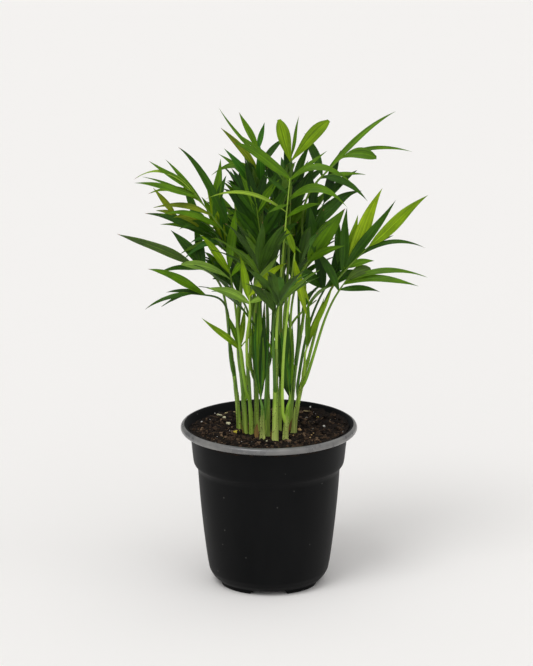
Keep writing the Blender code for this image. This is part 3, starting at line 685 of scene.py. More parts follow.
def set_inputs(tree, node, inputs):
    """Sets a node's inputs, each to a plain value or colour, or by a link from a socket."""
    for name, value in inputs.items():
        socket = socket_called(node.inputs, name)
        if isinstance(value, bpy.types.NodeSocket):
            tree.links.new(value, socket)
        else:
            socket.default_value = (*value, 1) if socket.type == "RGBA" else value


def add_node(tree, kind, output, inputs=None, **settings):
    """Adds a node with these inputs and settings, and gives one of its outputs."""
    node = tree.nodes.new("ShaderNode" + kind)
    for name, value in settings.items():
        setattr(node, name, value)
    set_inputs(tree, node, inputs or {})
    return socket_called(node.outputs, output)


def blank_material(name, colour, roughness, specular=0.5):
    made = bpy.data.materials.new(name)
    made.use_nodes = True
    made.diffuse_color = (*colour, 1)
    tree = made.node_tree
    shader = tree.nodes["Principled BSDF"]
    set_inputs(tree, shader, {"Base Color": colour, "Roughness": roughness, "Specular IOR Level": specular})
    return made, tree, shader


def object_noise(tree, scale, detail=2.0, stretch=(1, 1, 1)):
    """A noise in the object's own coordinates, of so many patches a metre, drawn out where stretch is low."""
    place = add_node(tree, "TexCoord", "Object")
    stretched = add_node(tree, "Mapping", "Vector", {"Vector": place, "Scale": stretch})
    return add_node(tree, "TexNoise", "Fac", {"Vector": stretched, "Scale": scale, "Detail": detail})


def ramp(tree, factor, stops):
    """A colour ramp over the factor, with stops of (position, colour)."""
    made = tree.nodes.new("ShaderNodeValToRGB")
    elements = made.color_ramp.elements
    while len(elements) < len(stops):
        elements.new(0.5)
    for element, (position, colour) in zip(elements, stops):
        element.position = position
        element.color = (*colour, 1)
    tree.links.new(factor, made.inputs["Fac"])
    return made.outputs["Color"]


def mix(tree, factor, first, second, blend="MIX"):
    """Mixes two colours, each a socket or a plain colour."""
    inputs = {"Factor_Float": factor, "A_Color": first, "B_Color": second}
    return add_node(tree, "Mix", "Result_Color", inputs, data_type="RGBA", blend_type=blend)


def calculate(tree, operation, first, second=0.0):
    return add_node(tree, "Math", "Value", {"Value": first, "Value_001": second}, operation=operation)


def spread(tree, factor, low, high):
    """Maps a factor of 0 to 1 onto low to high."""
    return add_node(tree, "MapRange", "Result", {"Value": factor, "To Min": low, "To Max": high})


def add_bump(tree, shader, height, strength, distance):
    bump = add_node(tree, "Bump", "Normal", {"Height": height, "Strength": strength, "Distance": distance})
    set_inputs(tree, shader, {"Normal": bump})


def patterned(name, colour, gloss, pattern, stops, bump):
    """A material whose colour and relief follow one noise. The gloss is its roughness and specular level, the
    pattern its noise's scale and detail, and the bump its relief's strength and distance."""
    made, tree, shader = blank_material(name, colour, *gloss)
    patches = object_noise(tree, *pattern)
    set_inputs(tree, shader, {"Base Color": ramp(tree, patches, stops)})
    add_bump(tree, shader, patches, *bump)
    return made


def streaks_along(tree):
    """A noise drawn out along the blade, that starts elsewhere on each leaf."""
    along = add_node(tree, "TexCoord", "UV")
    stretched = add_node(tree, "Mapping", "Vector", {"Vector": along, "Scale": STREAK_STRETCH})
    place = add_node(tree, "TexCoord", "Object")
    inputs = {"Vector": place, "Vector_001": STREAK_SHIFT, "Vector_002": stretched}
    place = add_node(tree, "VectorMath", "Vector", inputs, operation="MULTIPLY_ADD")
    return add_node(tree, "TexNoise", "Fac", {"Vector": place, "Scale": 1.0, "Detail": 3.0})


def leaf_material(name, colour, roughness=0.34, variation=0.25):
    """A leaf's surface: mottled, finely veined and streaked along the blade; the streaks' light and dark bands
    are partly painted pleat shade and painted highlight.
    """
    made, tree, shader = blank_material(name, colour, roughness, LEAF_SPECULAR)
    glossy, dull = (roughness + change for change in LEAF_GLOSS_CHANGES)
    red, green, blue = colour
    warm = (red * (1 + WARM_RED * variation), green * (1 + variation), blue)
    mottle = object_noise(tree, scale=70, detail=3.0)
    base = ramp(tree, mottle, ((0.3, shade(colour, 1 - variation)), (0.7, warm)))
    # The bands along the blade are partly painted light: shade in the pleats and highlights on them.
    tone = ramp(tree, streaks_along(tree), STREAK_AND_PAINTED_SHADING_TONES)
    across = add_node(tree, "SeparateXYZ", "X", {"Vector": add_node(tree, "UVMap", "UV")})
    veins = calculate(tree, "SINE", calculate(tree, "MULTIPLY", across, 2 * math.pi))
    add_bump(tree, shader, veins, strength=0.5, distance=0.00009)
    set_inputs(tree, shader, {
        "Base Color": mix(tree, 1.0, base, tone, "MULTIPLY"),
        "Roughness": spread(tree, object_noise(tree, scale=160), glossy, dull),
        "Subsurface Weight": 0.10,
        "Subsurface Radius": (0.6, 1.0, 0.2),
        "Subsurface Scale": 0.0012,
    })
    return made


def height_share(tree, low, high):
    """How far up a point is between two heights in millimetres, as a share from 0 to 1."""
    height = add_node(tree, "SeparateXYZ", "Z", {"Vector": add_node(tree, "TexCoord", "Object")})
    return add_node(tree, "MapRange", "Result",
                    {"Value": height, "From Min": low * MM, "From Max": high * MM})


def rib_material(name, colour, crown_painted_shade):
    """A stalk's surface, finely streaked, with painted shade that darkens it where it reaches the crown."""
    made, tree, shader = blank_material(name, colour, roughness=0.42, specular=0.3)
    streaks = object_noise(tree, scale=300, stretch=(1, 1, 0.08))
    base = ramp(tree, streaks, ((0.3, shade(colour, 0.75)), (0.7, shade(colour, 1.2))))
    # Painted shade: the stalk darkens by its row's factor between these heights, where the crown shades it.
    tone = ramp(tree, height_share(tree, *CROWN_PAINTED_SHADE_HEIGHTS), ((0.0, (1, 1, 1)), (1.0, (crown_painted_shade,) * 3)))
    set_inputs(tree, shader, {"Base Color": mix(tree, 1.0, base, tone, "MULTIPLY")})
    add_bump(tree, shader, streaks, strength=0.3, distance=0.0001)
    return made


def stem_material(name, low_colour, high_colour):
    """A cane: pale at its foot, greener above, with fine streaks along it whose strong light and dark are
    partly painted highlight and painted shade.
    """
    made, tree, shader = blank_material(name, high_colour, roughness=0.42)
    patches = object_noise(tree, scale=120, stretch=(1, 1, 0.4))
    height = height_share(tree, SOIL_LEVEL, SOIL_LEVEL + STEM_FADE_HEIGHT)
    wandering = calculate(tree, "ADD", height, spread(tree, patches, -0.3, 0.3))
    base = ramp(tree, wandering, ((0.0, low_colour), (0.45, high_colour), (1.0, shade(high_colour, 0.7))))
    streaks = object_noise(tree, scale=700, detail=3.0, stretch=(1, 1, 0.03))
    # The streaks' wide range, from dark to near white, is partly painted highlight and painted shade on the
    # cane.
    tone = ramp(tree, streaks, ((0.32, (0.42, 0.45, 0.36)), (0.66, (1.3, 1.3, 1.25))))
    set_inputs(tree, shader, {"Base Color": mix(tree, 1.0, base, tone, "MULTIPLY")})
    add_bump(tree, shader, streaks, strength=0.5, distance=0.0002)
    return made


def plastic_material():
    """Black moulded plastic with a fine grain, dull scuffs and a few pale specks of dust."""
    made, tree, shader = blank_material("pot_plastic", (0.0030, 0.0033, 0.0036), roughness=0.5, specular=0.09)
    place = add_node(tree, "TexCoord", "Object")
    specks = add_node(tree, "TexVoronoi", "Distance", {"Vector": place, "Scale": 95})
    dots = calculate(tree, "LESS_THAN", specks, 0.055)
    scuffs = object_noise(tree, scale=45, detail=6.0, stretch=(1, 1, 0.35))
    base = ramp(tree, scuffs, ((0.35, (0.0018, 0.0021, 0.0024)), (0.75, (0.0042, 0.0044, 0.0048))))
    set_inputs(tree, shader, {
        "Base Color": mix(tree, dots, base, DUST_COLOUR),
        "Roughness": spread(tree, scuffs, 0.36, 0.64),
    })
    add_bump(tree, shader, object_noise(tree, scale=1500), strength=0.25, distance=0.00015)
    return made


def lip_material():
    """The same plastic where hands and potting rub it, smoother and a little scratched, with a grey base that
    is a painted highlight for the light on the rolled lip.
    """
    made, tree, shader = blank_material("pot_lip_painted_highlight", (0.070, 0.070, 0.068), roughness=0.28, specular=0.7)
    wear_and_sheen = object_noise(tree, scale=60, detail=8.0)
    set_inputs(tree, shader, {
        # Painted highlight: a grey base, lighter in patches, stands for the light that the lip catches.
        "Base Color": ramp(tree, wear_and_sheen, ((0.35, (0.085, 0.086, 0.090)), (0.7, (0.215, 0.211, 0.200)))),
        "Roughness": spread(tree, wear_and_sheen, 0.20, 0.36),
    })
    add_bump(tree, shader, object_noise(tree, scale=700, detail=3.0), strength=0.3, distance=0.0002)
    return made


def earth_material(name, dark, light, scale=700):
    stops = ((0.35, dark), (0.62, light))
    return patterned(name, dark, gloss=(0.92, 0.2), pattern=(scale, 6.0), stops=stops, bump=(0.9, 0.0008))


def grain_material(name, colour, roughness=0.8):
    stops = ((0.3, shade(colour, 0.72)), (0.7, shade(colour, 1.12)))
    gloss = (roughness, 0.3)
    return patterned(name, colour, gloss=gloss, pattern=(900, 4.0), stops=stops, bump=(0.6, 0.0003))


# Mesh building.
@dataclass
class Pile:
    """What is gathered for one joined mesh, in millimetres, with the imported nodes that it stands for."""
    corners: list = field(default_factory=list)
    faces: list = field(default_factory=list)
    surfaces: list = field(default_factory=list)
    places: list = field(default_factory=list)
    nodes: set = field(default_factory=set)

    def add(self, corners, faces, surfaces=0, places=None):
        """Adds a shape, with one material number for all its faces or one for each."""
        first = len(self.corners)
        self.corners += corners
        self.faces += [tuple(first + index for index in face) for face in faces]
        self.surfaces += [surfaces] * len(faces) if isinstance(surfaces, int) else surfaces
        self.places += places or [(0.0, 0.0)] * len(corners)


def add_object(name, data):
    obj = bpy.data.objects.new(name, data)
    bpy.context.scene.collection.objects.link(obj)
    return obj


def piece_from(name, pile, surfaces, sharp=40):
    """A joined piece that rides on the one body, smooth except at edges over so many degrees."""
    mesh = bpy.data.meshes.new(name)
    mesh.from_pydata([corner * MM for corner in pile.corners], [], pile.faces)
    for surface in surfaces:
        mesh.materials.append(surface)
    mesh.polygons.foreach_set("material_index", pile.surfaces)
    mesh.polygons.foreach_set("use_smooth", [True] * len(mesh.polygons))
    layer = mesh.uv_layers.new(name="places")
    places = [pile.places[loop.vertex_index] for loop in mesh.loops]
    layer.data.foreach_set("uv", [value for place in places for value in place])
    mesh.set_sharp_from_angle(angle=math.radians(sharp))
    mesh.update()
    obj = add_object(name, mesh)
    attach(obj, "root")
    return obj


# Blades: closed thin leaves, folded at the midrib and pleated beside it.
BLADE_LANES = (-1.0, -0.7, -0.4, -0.08, 0.08, 0.4, 0.7, 1.0)
BLADE_PLEATS = (0.0, 0.10, -0.06, -0.10, -0.10, -0.06, 0.10, 0.0)
UNDER_LANES = (6, 5, 4, 3, 2, 1)
KEEL_LANES = (3, 4)
RING_LANES = BLADE_LANES + tuple(BLADE_LANES[number] for number in UNDER_LANES)

# The material numbers of a blade's faces, round one ring: the top with its midrib, then the underside.
TOP, MIDRIB, UNDER, DRY = range(4)
RING_SURFACES = [TOP, TOP, TOP, MIDRIB, TOP, TOP, TOP] + [UNDER] * (len(UNDER_LANES) + 1)
BLADE_STATIONS = 20
BLUNT_CROWDING = 1.7
PLEAT_HALF_WIDTH = 3
BLADE_FULL = 0.97
BLADE_DRAWN = 0.42
EDGE_ON_TINT = "l"
EDGE_ON_SHARE = 0.6
BLADE_THICKNESS = 0.30
BLADE_KEEL = 0.22
BLADE_FOLD = 0.16
RIPPLE = 0.035
RIPPLE_WAVES = (1.2, 2.4)
VEIN_SPACING = 0.9
VEIN_LENGTH = 10
BLADE_TWIST = 10
SWAY = 0.012
DRY_SHARE = 0.30
DRY_LENGTH = 0.93


def blade_width(leaflet, t):
    """The fine blade's width: the plan's, drawn out to a thin point where it isn't blunt."""
    width = leaf_width(leaflet, t)
    if leaflet.tint == EDGE_ON_TINT:
        width *= EDGE_ON_SHARE
    return width if leaflet.blunt else width * (BLADE_FULL - BLADE_DRAWN * t ** 3)


def blade_station(leaflet, k):
    """The share along the blade of a station, closer together towards a blunt tip."""
    t = k / BLADE_STATIONS
    return 1 - (1 - t) ** BLUNT_CROWDING if leaflet.blunt else t


def blade_ring(leaflet, t, middle, side, face, ripple):
    """The corners round a blade at one station: its lanes on top, then its underside, deeper at the keel."""
    half = blade_width(leaflet, t) / 2
    top = []
    for lane, pleat in zip(BLADE_LANES, BLADE_PLEATS):
        lift = half * BLADE_FOLD * abs(lane) + pleat * min(half / PLEAT_HALF_WIDTH, 1)
        top.append(middle + side * half * lane + face * (lift + ripple * lane * abs(lane)))
    under = []
    for number in UNDER_LANES:
        depth = BLADE_THICKNESS + (BLADE_KEEL * (1 - t) if number in KEEL_LANES else 0.0)
        under.append(top[number] - face * depth)
    return top + under


def blade_surfaces(leaflet, dry):
    """The material number of each face of a blade, whose tip may be dry."""
    surfaces = [UNDER]
    for k in range(BLADE_STATIONS):
        withered = dry and blade_station(leaflet, k + 0.5) > DRY_LENGTH
        surfaces += [DRY] * len(RING_SURFACES) if withered else RING_SURFACES
    return surfaces


def blade_shape(leaflet, base, rng):
    """A blade's corners, faces, material numbers and vein coordinates."""
    chord = leaflet.chord
    side = chord.cross(leaflet.face).normalized()
    twist = math.radians(rng.uniform(-BLADE_TWIST, BLADE_TWIST))
    sway = rng.uniform(-SWAY, SWAY) * chord.length
    phase = rng.uniform(0, 2 * math.pi)
    waves = rng.uniform(*RIPPLE_WAVES)
    dry = rng.random() < DRY_SHARE and not leaflet.blunt
    veins = max(round(leaflet.width / VEIN_SPACING), 2)
    corners, places = [], []
    for k in range(BLADE_STATIONS):
        t = blade_station(leaflet, k)
        along = (chord + UP * 4 * leaflet.arch * (1 - 2 * t)).normalized()
        turned_side = Matrix.Rotation(twist * math.sin(math.pi * t), 3, along) @ side
        face = turned_side.cross(along).normalized()
        middle = leaf_middle(leaflet, base, t) + turned_side * sway * math.sin(2 * math.pi * t)
        ripple = RIPPLE * leaflet.width * math.sin(2 * math.pi * waves * t + phase)
        corners += blade_ring(leaflet, t, middle, turned_side, face, ripple)
        places += [(lane * veins / 2, t * chord.length / VEIN_LENGTH) for lane in RING_LANES]
    corners.append(base + chord)
    places.append((0.0, chord.length / VEIN_LENGTH))
    return corners, blade_faces(BLADE_STATIONS, len(RING_LANES)), blade_surfaces(leaflet, dry), places


# Ribs: the stalk and midrib, as a tube with a shallow channel, that starts inside the stem.
RIB_SIDES = 10
FINE_STALK_POINTS = 22
FINE_RIB_POINTS = 12
ROOT_DEPTH = 9.0
ROOT_FLARE = 1.25
ROOT_LOWEST = 0.02
ROOT_BEND = 0.55
CHANNEL = 0.16


def round_tube(line, radii, sides, channel=0.0):
    """A closed tube round a line."""
    return tube_rings(line, radii, sides, channel), tube_faces(len(line), sides)


def rooted_rib(frond):
    """The fine rib's line and radii, begun inside its stem below the place where it leaves it."""
    line, radii = rib_line(frond, FINE_STALK_POINTS, FINE_RIB_POINTS)
    share = max(min(frond.leave, 1.0) - ROOT_DEPTH / STEM_HEIGHTS[frond.stem], ROOT_LOWEST)
    root = stem_point(frond.stem, share)
    middle = root.lerp(line[0], ROOT_BEND)
    return [root, middle] + line, [STALK_RADIUS, STALK_RADIUS * ROOT_FLARE] + radii


def leaf_surfaces(name, colour):
    """A leaf's top, midrib and underside."""
    under_colour = tuple(Vector(colour).lerp(Vector(UNDERSIDE_COLOUR), UNDERSIDE_SHARE))
    middle = leaf_material(name + "_midrib", shade(colour, MIDRIB_LIFT))
    under = leaf_material(name + "_underside", under_colour, UNDERSIDE_ROUGHNESS)
    return [leaf_material(name, colour), middle, under]


def build_fronds():
    """Joins the blades and the ribs of all fronds by their tints."""
    rng = random.Random(FILL_SEED)
    blades = {letter: Pile() for letter in LEAF_COLOURS}
    ribs = {letter: Pile() for letter in RIB_COLOURS}
    for number, frond in enumerate(planned_fronds(), 1):
        rib_pile = ribs[frond.rib_tint]
        rib_pile.add(*round_tube(*rooted_rib(frond), RIB_SIDES, CHANNEL))
        rib_pile.nodes.add(f"frond_{number:02}")
        for leaflet in frond.leaflets:
            leaf_pile = blades[leaflet.tint]
            leaf_pile.add(*blade_shape(leaflet, rib_point(frond, leaflet.share), rng))
            leaf_pile.nodes.add(f"frond_{number:02}")
    dry = grain_material("leaf_dry", DRY_COLOUR)
    for letter, (name, colour) in LEAF_COLOURS.items():
        surfaces = leaf_surfaces(name, colour) + [dry]
        piece = piece_from(name.replace("leaf", "leaflets"), blades[letter], surfaces)
        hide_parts(*sorted(blades[letter].nodes))
    for letter, (name, colour, crown_painted_shade) in RIB_COLOURS.items():
        surface = rib_material(name, colour, crown_painted_shade)
        piece = piece_from(name.replace("rib", "ribs"), ribs[letter], [surface])
        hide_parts(*sorted(ribs[letter].nodes))


# Stems: canes wrapped by leaf sheaths, each with a slanting brown edge.
STEM_SIDES = 24
STEM_SHARP = 60
STEM_RING = 0.5
SHEATH_SHARES = (0.20, 0.46, 0.74)
SHEATH_SHARE_JITTER = 0.07
SHEATH_STEP = 0.34
SHEATH_SLANT = 9.0
SHEATH_SLANT_JITTER = (0.6, 1.5)
SHEATH_FADE = 22.0
FOOT_SWELL = 0.35
FOOT_HEIGHT = 7.0
STEM_CORE = 0.90
STEM_TIP_LOSS = 0.12
STEM_RIDGES = 5
STEM_RIDGE_HEIGHT = 0.05
STEM_SEED = 7
STEM_COLOURS = {
    "stem_pale": ((0.500, 0.580, 0.170), (0.250, 0.410, 0.030)),
    "stem_green": ((0.330, 0.460, 0.080), (0.150, 0.300, 0.018)),
}
SHEATH_EDGE_COLOUR = (0.075, 0.045, 0.016)
PALE_STEMS = (4, 6, 8, 10)
STEM_TIP_FADE = 5.0


def sheath_edges(index, rng):
    """The height, slant and bearing of each sheath's edge on one stem."""
    edges = []
    for share in SHEATH_SHARES:
        height = STEM_HEIGHTS[index] * (share + rng.uniform(-SHEATH_SHARE_JITTER, SHEATH_SHARE_JITTER))
        edges.append((height, SHEATH_SLANT * rng.uniform(*SHEATH_SLANT_JITTER), rng.uniform(0, 2 * math.pi)))
    return edges


def edge_levels(turn, edges):
    """The height of each sheath's slanting edge at this turn round the stem."""
    return [height + slant * math.cos(turn - bearing) for height, slant, bearing in edges]


def sheath_relief(height, turn, edges):
    """How far the sheaths stand out here: thickest just under an edge, and nothing above it."""
    relief = 0.0
    for level in edge_levels(turn, edges):
        below = level - height
        if 0 <= below < SHEATH_FADE:
            relief = max(relief, SHEATH_STEP * (1 - below / SHEATH_FADE))
    return relief


def crosses_edge(low, high, turn, edges):
    return any(low <= level < high for level in edge_levels(turn, edges))


def stem_ring(index, share, edges):
    """The corners round a stem: its tapering core, swollen foot, shallow ridges and sheaths."""
    height = STEM_HEIGHTS[index]
    level = height * share
    fade = min((height - level) / STEM_TIP_FADE, 1.0)
    core = stem_radius(index, share) * (STEM_CORE - STEM_TIP_LOSS * (1 - fade))
    core += FOOT_SWELL * max(1 - level / FOOT_HEIGHT, 0) ** 2
    corners = []
    for j in range(STEM_SIDES):
        turn = turn_of(j, STEM_SIDES)
        relief = sheath_relief(level, turn, edges) + STEM_RIDGE_HEIGHT * math.cos(STEM_RIDGES * turn + index)
        corners.append(stem_point(index, share) + Vector((*on_circle(1, turn), 0)) * (core + relief))
    return corners


def stem_shape(index, rng):
    height = STEM_HEIGHTS[index]
    edges = sheath_edges(index, rng)
    rings = round(height / STEM_RING)
    corners, surfaces = [], [0]
    for k in range(rings + 1):
        corners += stem_ring(index, k / rings, edges)
    for k in range(rings):
        low, high = height * k / rings, height * (k + 1) / rings
        for j in range(STEM_SIDES):
            surfaces.append(int(crosses_edge(low, high, turn_of(j + 0.5, STEM_SIDES), edges)))
    return corners, tube_faces(rings + 1, STEM_SIDES), surfaces + [0]


def build_stems():
    rng = random.Random(STEM_SEED)
    edge = grain_material("sheath_edge", SHEATH_EDGE_COLOUR, roughness=0.7)
    for name, colours in STEM_COLOURS.items():
        pile = Pile()
        for index in range(len(STEM_FEET)):
            if (index in PALE_STEMS) == (name == "stem_pale"):
                pile.add(*stem_shape(index, rng))
                pile.nodes.add(f"stem_{index + 1:02}")
        surfaces = [stem_material(name, *colours), edge]
        piece = piece_from(name.replace("stem", "stems"), pile, surfaces, STEM_SHARP)
        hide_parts(*sorted(pile.nodes))


# Husks: dry papery sheaths at the stems' feet. A row is the foot's place, its lean, its length and its width.
HUSKS = (
    ((-9.2, -11.5), (0.05, -0.10), 13, 4.6), ((-14.5, 5.0), (-0.2, -0.1), 12, 3.2),
    ((2.0, -14.0), (0.1, -0.2), 9, 3), ((13.0, -9.5), (0.25, -0.1), 14, 3.2),
    ((15.5, 6.0), (0.2, 0.1), 11, 3), ((-4.0, 12.0), (-0.1, 0.2), 12, 3.4),
    ((4.0, 13.5), (0.1, 0.3), 10, 3), ((-18.5, -3.0), (-0.3, -0.1), 10, 2.6),
)
HUSK_SEED = 12
HUSK_ARCH = 0.5
HUSK_SINK = 1
HUSK_COLOUR = (0.260, 0.165, 0.075)


def build_husks():
    rng = random.Random(HUSK_SEED)
    pile = Pile()
    for (x, y), (lean_x, lean_y), length, width in HUSKS:
        chord = Vector((lean_x, lean_y, 1)).normalized() * length
        husk = Leaflet(0, chord, width, HUSK_ARCH, Vector((x, y, 0)).normalized())
        foot = Vector((x, y, soil_height(x, y) - HUSK_SINK))
        corners, faces, _, places = blade_shape(husk, foot, rng)
        pile.add(corners, faces, 0, places)
    surface = leaf_material("dry_husk", HUSK_COLOUR, roughness=0.7, variation=0.35)
    piece_from("husks", pile, [surface])


# Pot: the shell turned finely, with a foot ring whose underside steps up at four notches.
POT_STEPS = 144
ON_AXIS = 0.001
LIP_STEPS = 16
LIP_DARK_STEPS = 4
POT_SHARP = 50
BODY_RINGS = 14
ROUNDING = 1.2
ROUNDING_STEPS = 4
ROUNDING_LIMIT = 0.45
FOOT_STEPS = 288
FOOT_ROUND = 0.7
FOOT_EDGE_SHARE = 0.28
FLOOR_MARGIN = 1
INNER_LIFT = 0.4 * WALL
DRAIN_SIDES = 40
DRAIN_DEPTH = 4 * WALL
WELD_DISTANCE = 0.005


def lip_profile():
    """The rolled lip, from its inner side over the top to its outer side."""
    points = []
    for k in range(LIP_STEPS + 1):
        across, up = on_circle(LIP_ROLL, math.radians(between(*LIP_ARC, k / LIP_STEPS)))
        points.append((LIP_RADIUS - LIP_ROLL + across, POT_HEIGHT - LIP_ROLL + up))
    return points


def body_profile():
    """The bowed side of the pot's body, from its top to its foot."""
    (top_radius, top), (foot_radius, foot) = BODY_TOP, BODY_FOOT
    points = []
    for k in range(BODY_RINGS + 1):
        t = k / BODY_RINGS
        bow = BODY_BOW * 4 * t * (1 - t)
        points.append((between(top_radius, foot_radius, t) + bow, between(top, foot, t)))
    return points


def rounded(points):
    """The same open line with each inner corner cut back a little and bent round in a few steps."""
    made = [points[0]]
    for before, corner, after in zip(points, points[1:], points[2:]):
        corner = Vector(corner)
        backward = Vector(before) - corner
        forward = Vector(after) - corner
        cut = min(ROUNDING, backward.length * ROUNDING_LIMIT, forward.length * ROUNDING_LIMIT)
        start = corner + backward.normalized() * cut
        end = corner + forward.normalized() * cut
        for k in range(ROUNDING_STEPS + 1):
            t = k / ROUNDING_STEPS
            made.append(tuple(start * (1 - t) ** 2 + corner * 2 * t * (1 - t) + end * t * t))
    return made + [points[-1]]


def inner_profile():
    """The pot's inner side, from the floor up to the lip."""
    radius, underside = UNDERSIDE
    side = [*COLLAR_STEP, *body_profile(), *CORNER]
    points = [(0, underside + WALL), (radius - FLOOR_MARGIN, underside + WALL)]
    points += [(radius - WALL, height + INNER_LIFT) for radius, height in reversed(side)]
    return points + [(radius - WALL, height) for radius, height in (COLLAR_FOOT, COLLAR_TOP)]


def turned_shape(profile, steps):
    """A closed body turned round Z from a profile that starts and ends on the axis or closes on itself."""
    corners, rings = [], []
    for radius, height in profile:
        first = len(corners)
        if radius < ON_AXIS:
            corners.append(Vector((0, 0, height)))
            rings.append([first] * steps)
            continue
        corners += [Vector((*on_circle(radius, turn_of(j, steps)), height)) for j in range(steps)]
        rings.append(list(range(first, first + steps)))
    faces = []
    for low, high in zip(rings, rings[1:]):
        for j in range(steps):
            after = (j + 1) % steps
            faces.append(tuple(dict.fromkeys((low[j], high[j], high[after], low[after]))))
    return corners, [face for face in faces if len(face) > 2]


def foot_shape():
    """The foot ring, sunk into the underside, with sloping ends at the notches."""
    inner, outer = FOOT_RADII
    top = UNDERSIDE[1] + FOOT_SINK
    wide, narrow = NOTCH_HALF_WIDTHS
    section = ((outer, 1.0), (outer, FOOT_EDGE_SHARE), (outer - FOOT_ROUND, 0.0),
               (inner + FOOT_ROUND, 0.0), (inner, FOOT_EDGE_SHARE), (inner, 1.0))
    corners = []
    for j in range(FOOT_STEPS + 1):
        for radius, share in section:
            x, y = on_circle(radius, turn_of(j % FOOT_STEPS, FOOT_STEPS))
            t = min(max((min(abs(x), abs(y)) - narrow) / (wide - narrow), 0.0), 1.0)
            bottom = UNDERSIDE[1] * (1 - t * t * (3 - 2 * t))
            corners.append(Vector((x, y, between(bottom, top, share))))
    return corners, ring_faces(FOOT_STEPS + 1, len(section))


def facing_out(obj):
    """Welds the corners of a turned body that meet, and turns its faces outward."""
    shape = bmesh.new()
    shape.from_mesh(obj.data)
    bmesh.ops.remove_doubles(shape, verts=shape.verts, dist=WELD_DISTANCE * MM)
    bmesh.ops.recalc_face_normals(shape, faces=shape.faces)
    shape.to_mesh(obj.data)
    shape.free()


def add_drain(cutters, turn):
    shape = bmesh.new()
    bmesh.ops.create_cone(shape, cap_ends=True, segments=DRAIN_SIDES, radius1=DRAIN_RADIUS * MM,
                          radius2=DRAIN_RADIUS * MM, depth=DRAIN_DEPTH * MM)
    mesh = bpy.data.meshes.new("drain")
    shape.to_mesh(mesh)
    shape.free()
    drain = bpy.data.objects.new("drain", mesh)
    cutters.objects.link(drain)
    drain.location = (*on_circle(DRAIN_CIRCLE * MM, turn), (UNDERSIDE[1] + WALL / 2) * MM)


def cut_drains(pot):
    """Cuts the drain holes through the pot's floor by one Boolean, and removes its cutters."""
    cutters = bpy.data.collections.new("drains")
    bpy.context.scene.collection.children.link(cutters)
    for k in range(DRAIN_COUNT):
        add_drain(cutters, turn_of(k, DRAIN_COUNT))
    modifier = pot.modifiers.new("Drains", "BOOLEAN")
    modifier.operation = "DIFFERENCE"
    modifier.operand_type = "COLLECTION"
    modifier.collection = cutters
    modifier.solver = "EXACT"
    bpy.context.view_layer.update()
    graph = bpy.context.evaluated_depsgraph_get()
    cut = bpy.data.meshes.new_from_object(pot.evaluated_get(graph))
    pot.modifiers.clear()
    pot.data = cut
    for drain in list(cutters.objects):
        bpy.data.objects.remove(drain)
    bpy.data.collections.remove(cutters)


def build_pot():
    plastic = plastic_material()
    lip = lip_profile()
    outer = rounded([lip[-1], COLLAR_TOP, COLLAR_FOOT, *COLLAR_STEP, *body_profile(), *CORNER, UNDERSIDE,
                     (0, UNDERSIDE[1])])
    inner = rounded([*inner_profile(), lip[0]])
    corners, faces = turned_shape(lip + outer[1:] + inner, POT_STEPS)
    # The lip's inner steps keep the black plastic; its top and outer side take the lip material with its
    # painted highlight.
    bands = [0] * LIP_DARK_STEPS + [1] * (LIP_STEPS - LIP_DARK_STEPS)
    lip_numbers = [band for band in bands for _ in range(POT_STEPS)]
    shell = Pile()
    shell.add(corners, faces, lip_numbers + [0] * (len(faces) - len(lip_numbers)))
    pot = piece_from("pot_shell", shell, [plastic, lip_material()], POT_SHARP)
    facing_out(pot)
    cut_drains(pot)
    pot.data.set_sharp_from_angle(angle=math.radians(POT_SHARP))
    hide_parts("pot")
    feet = Pile()
    feet.add(*foot_shape())
    foot_ring = piece_from("pot_feet", feet, [plastic])
    facing_out(foot_ring)
    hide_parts("pot")


# Soil: an uneven crumbly top, with crumbs, perlite, chips and fibres lying on it.
SOIL_TOP_GAP = 0.4
SOIL_TOP_RADIUS = COLLAR_TOP[0] - WALL - SOIL_TOP_GAP
SOIL_RINGS = 70
SOIL_STEPS = 240
SOIL_BANK = 5.6
SOIL_BANK_POWER = 4
SOIL_BANK_LOSS = 0.7
SOIL_BELOW_LIP = 2
SOIL_PLUG_DROP = 3
SOIL_TOP_BAND = 0.1
SOIL_SHARP = 60
SOIL_RISE = 0.6
SOIL_LOW_SIDE = (-0.5, 0.87)
FLANGE_SLOPE = 0.76
SOIL_LUMPS = ((15.0, 1.3), (5.0, 1.5), (2.6, 1.1))
CRUMB_SEED = 31
CRUMBS = 2600
CRUMB_SIZES = (0.35, 2.0)
CRUMB_WIDTHS = (1.2, 2.0)
CRUMB_HEIGHTS = (0.9, 1.6)
CRUMB_LIFT = 0.18
CRUMB_MARGIN = 2.0
FINE_CRUMB = 1.3
CRUMB_ROUGHNESS = 0.45
CRUMB_CHOICE = (0, 0, 0, 0, 1, 1, 1, 2)
SOIL_EARTH = ((0.0015, 0.001, 0.0007), (0.016, 0.0095, 0.006))
CRUMB_EARTHS = {
    "crumb_dark": ((0.002, 0.0014, 0.001), (0.014, 0.0085, 0.0055)),
    "crumb_brown": ((0.016, 0.010, 0.006), (0.070, 0.042, 0.025)),
    "crumb_light": ((0.050, 0.032, 0.020), (0.230, 0.150, 0.090)),
}
LUMP_TILT = 0.5
LUMP_GRAIN = 1.7
LUMP_SHIFT = 50
LUMP_ROUGHNESS = 0.35
BIT_SEED = 5
BIT_LIFT = 0.45
PERLITE = 60
PERLITE_SIZES = (0.3, 0.8)
PERLITE_SHAPE = (1, 0.9, 0.8)
PERLITE_LIFT = 0.4
FIBRE_SEED = 77
FIBRES = 90
FIBRE_LENGTHS = (2.5, 8)
FIBRE_BEND = 0.6
FIBRE_LIFT = (0.35, 0.5)
FIBRE_RADII = (0.16, 0.2, 0.2, 0.18, 0.15, 0.08)
FIBRE_SIDES = 6
FIBRE_MARGINS = (6, 1)
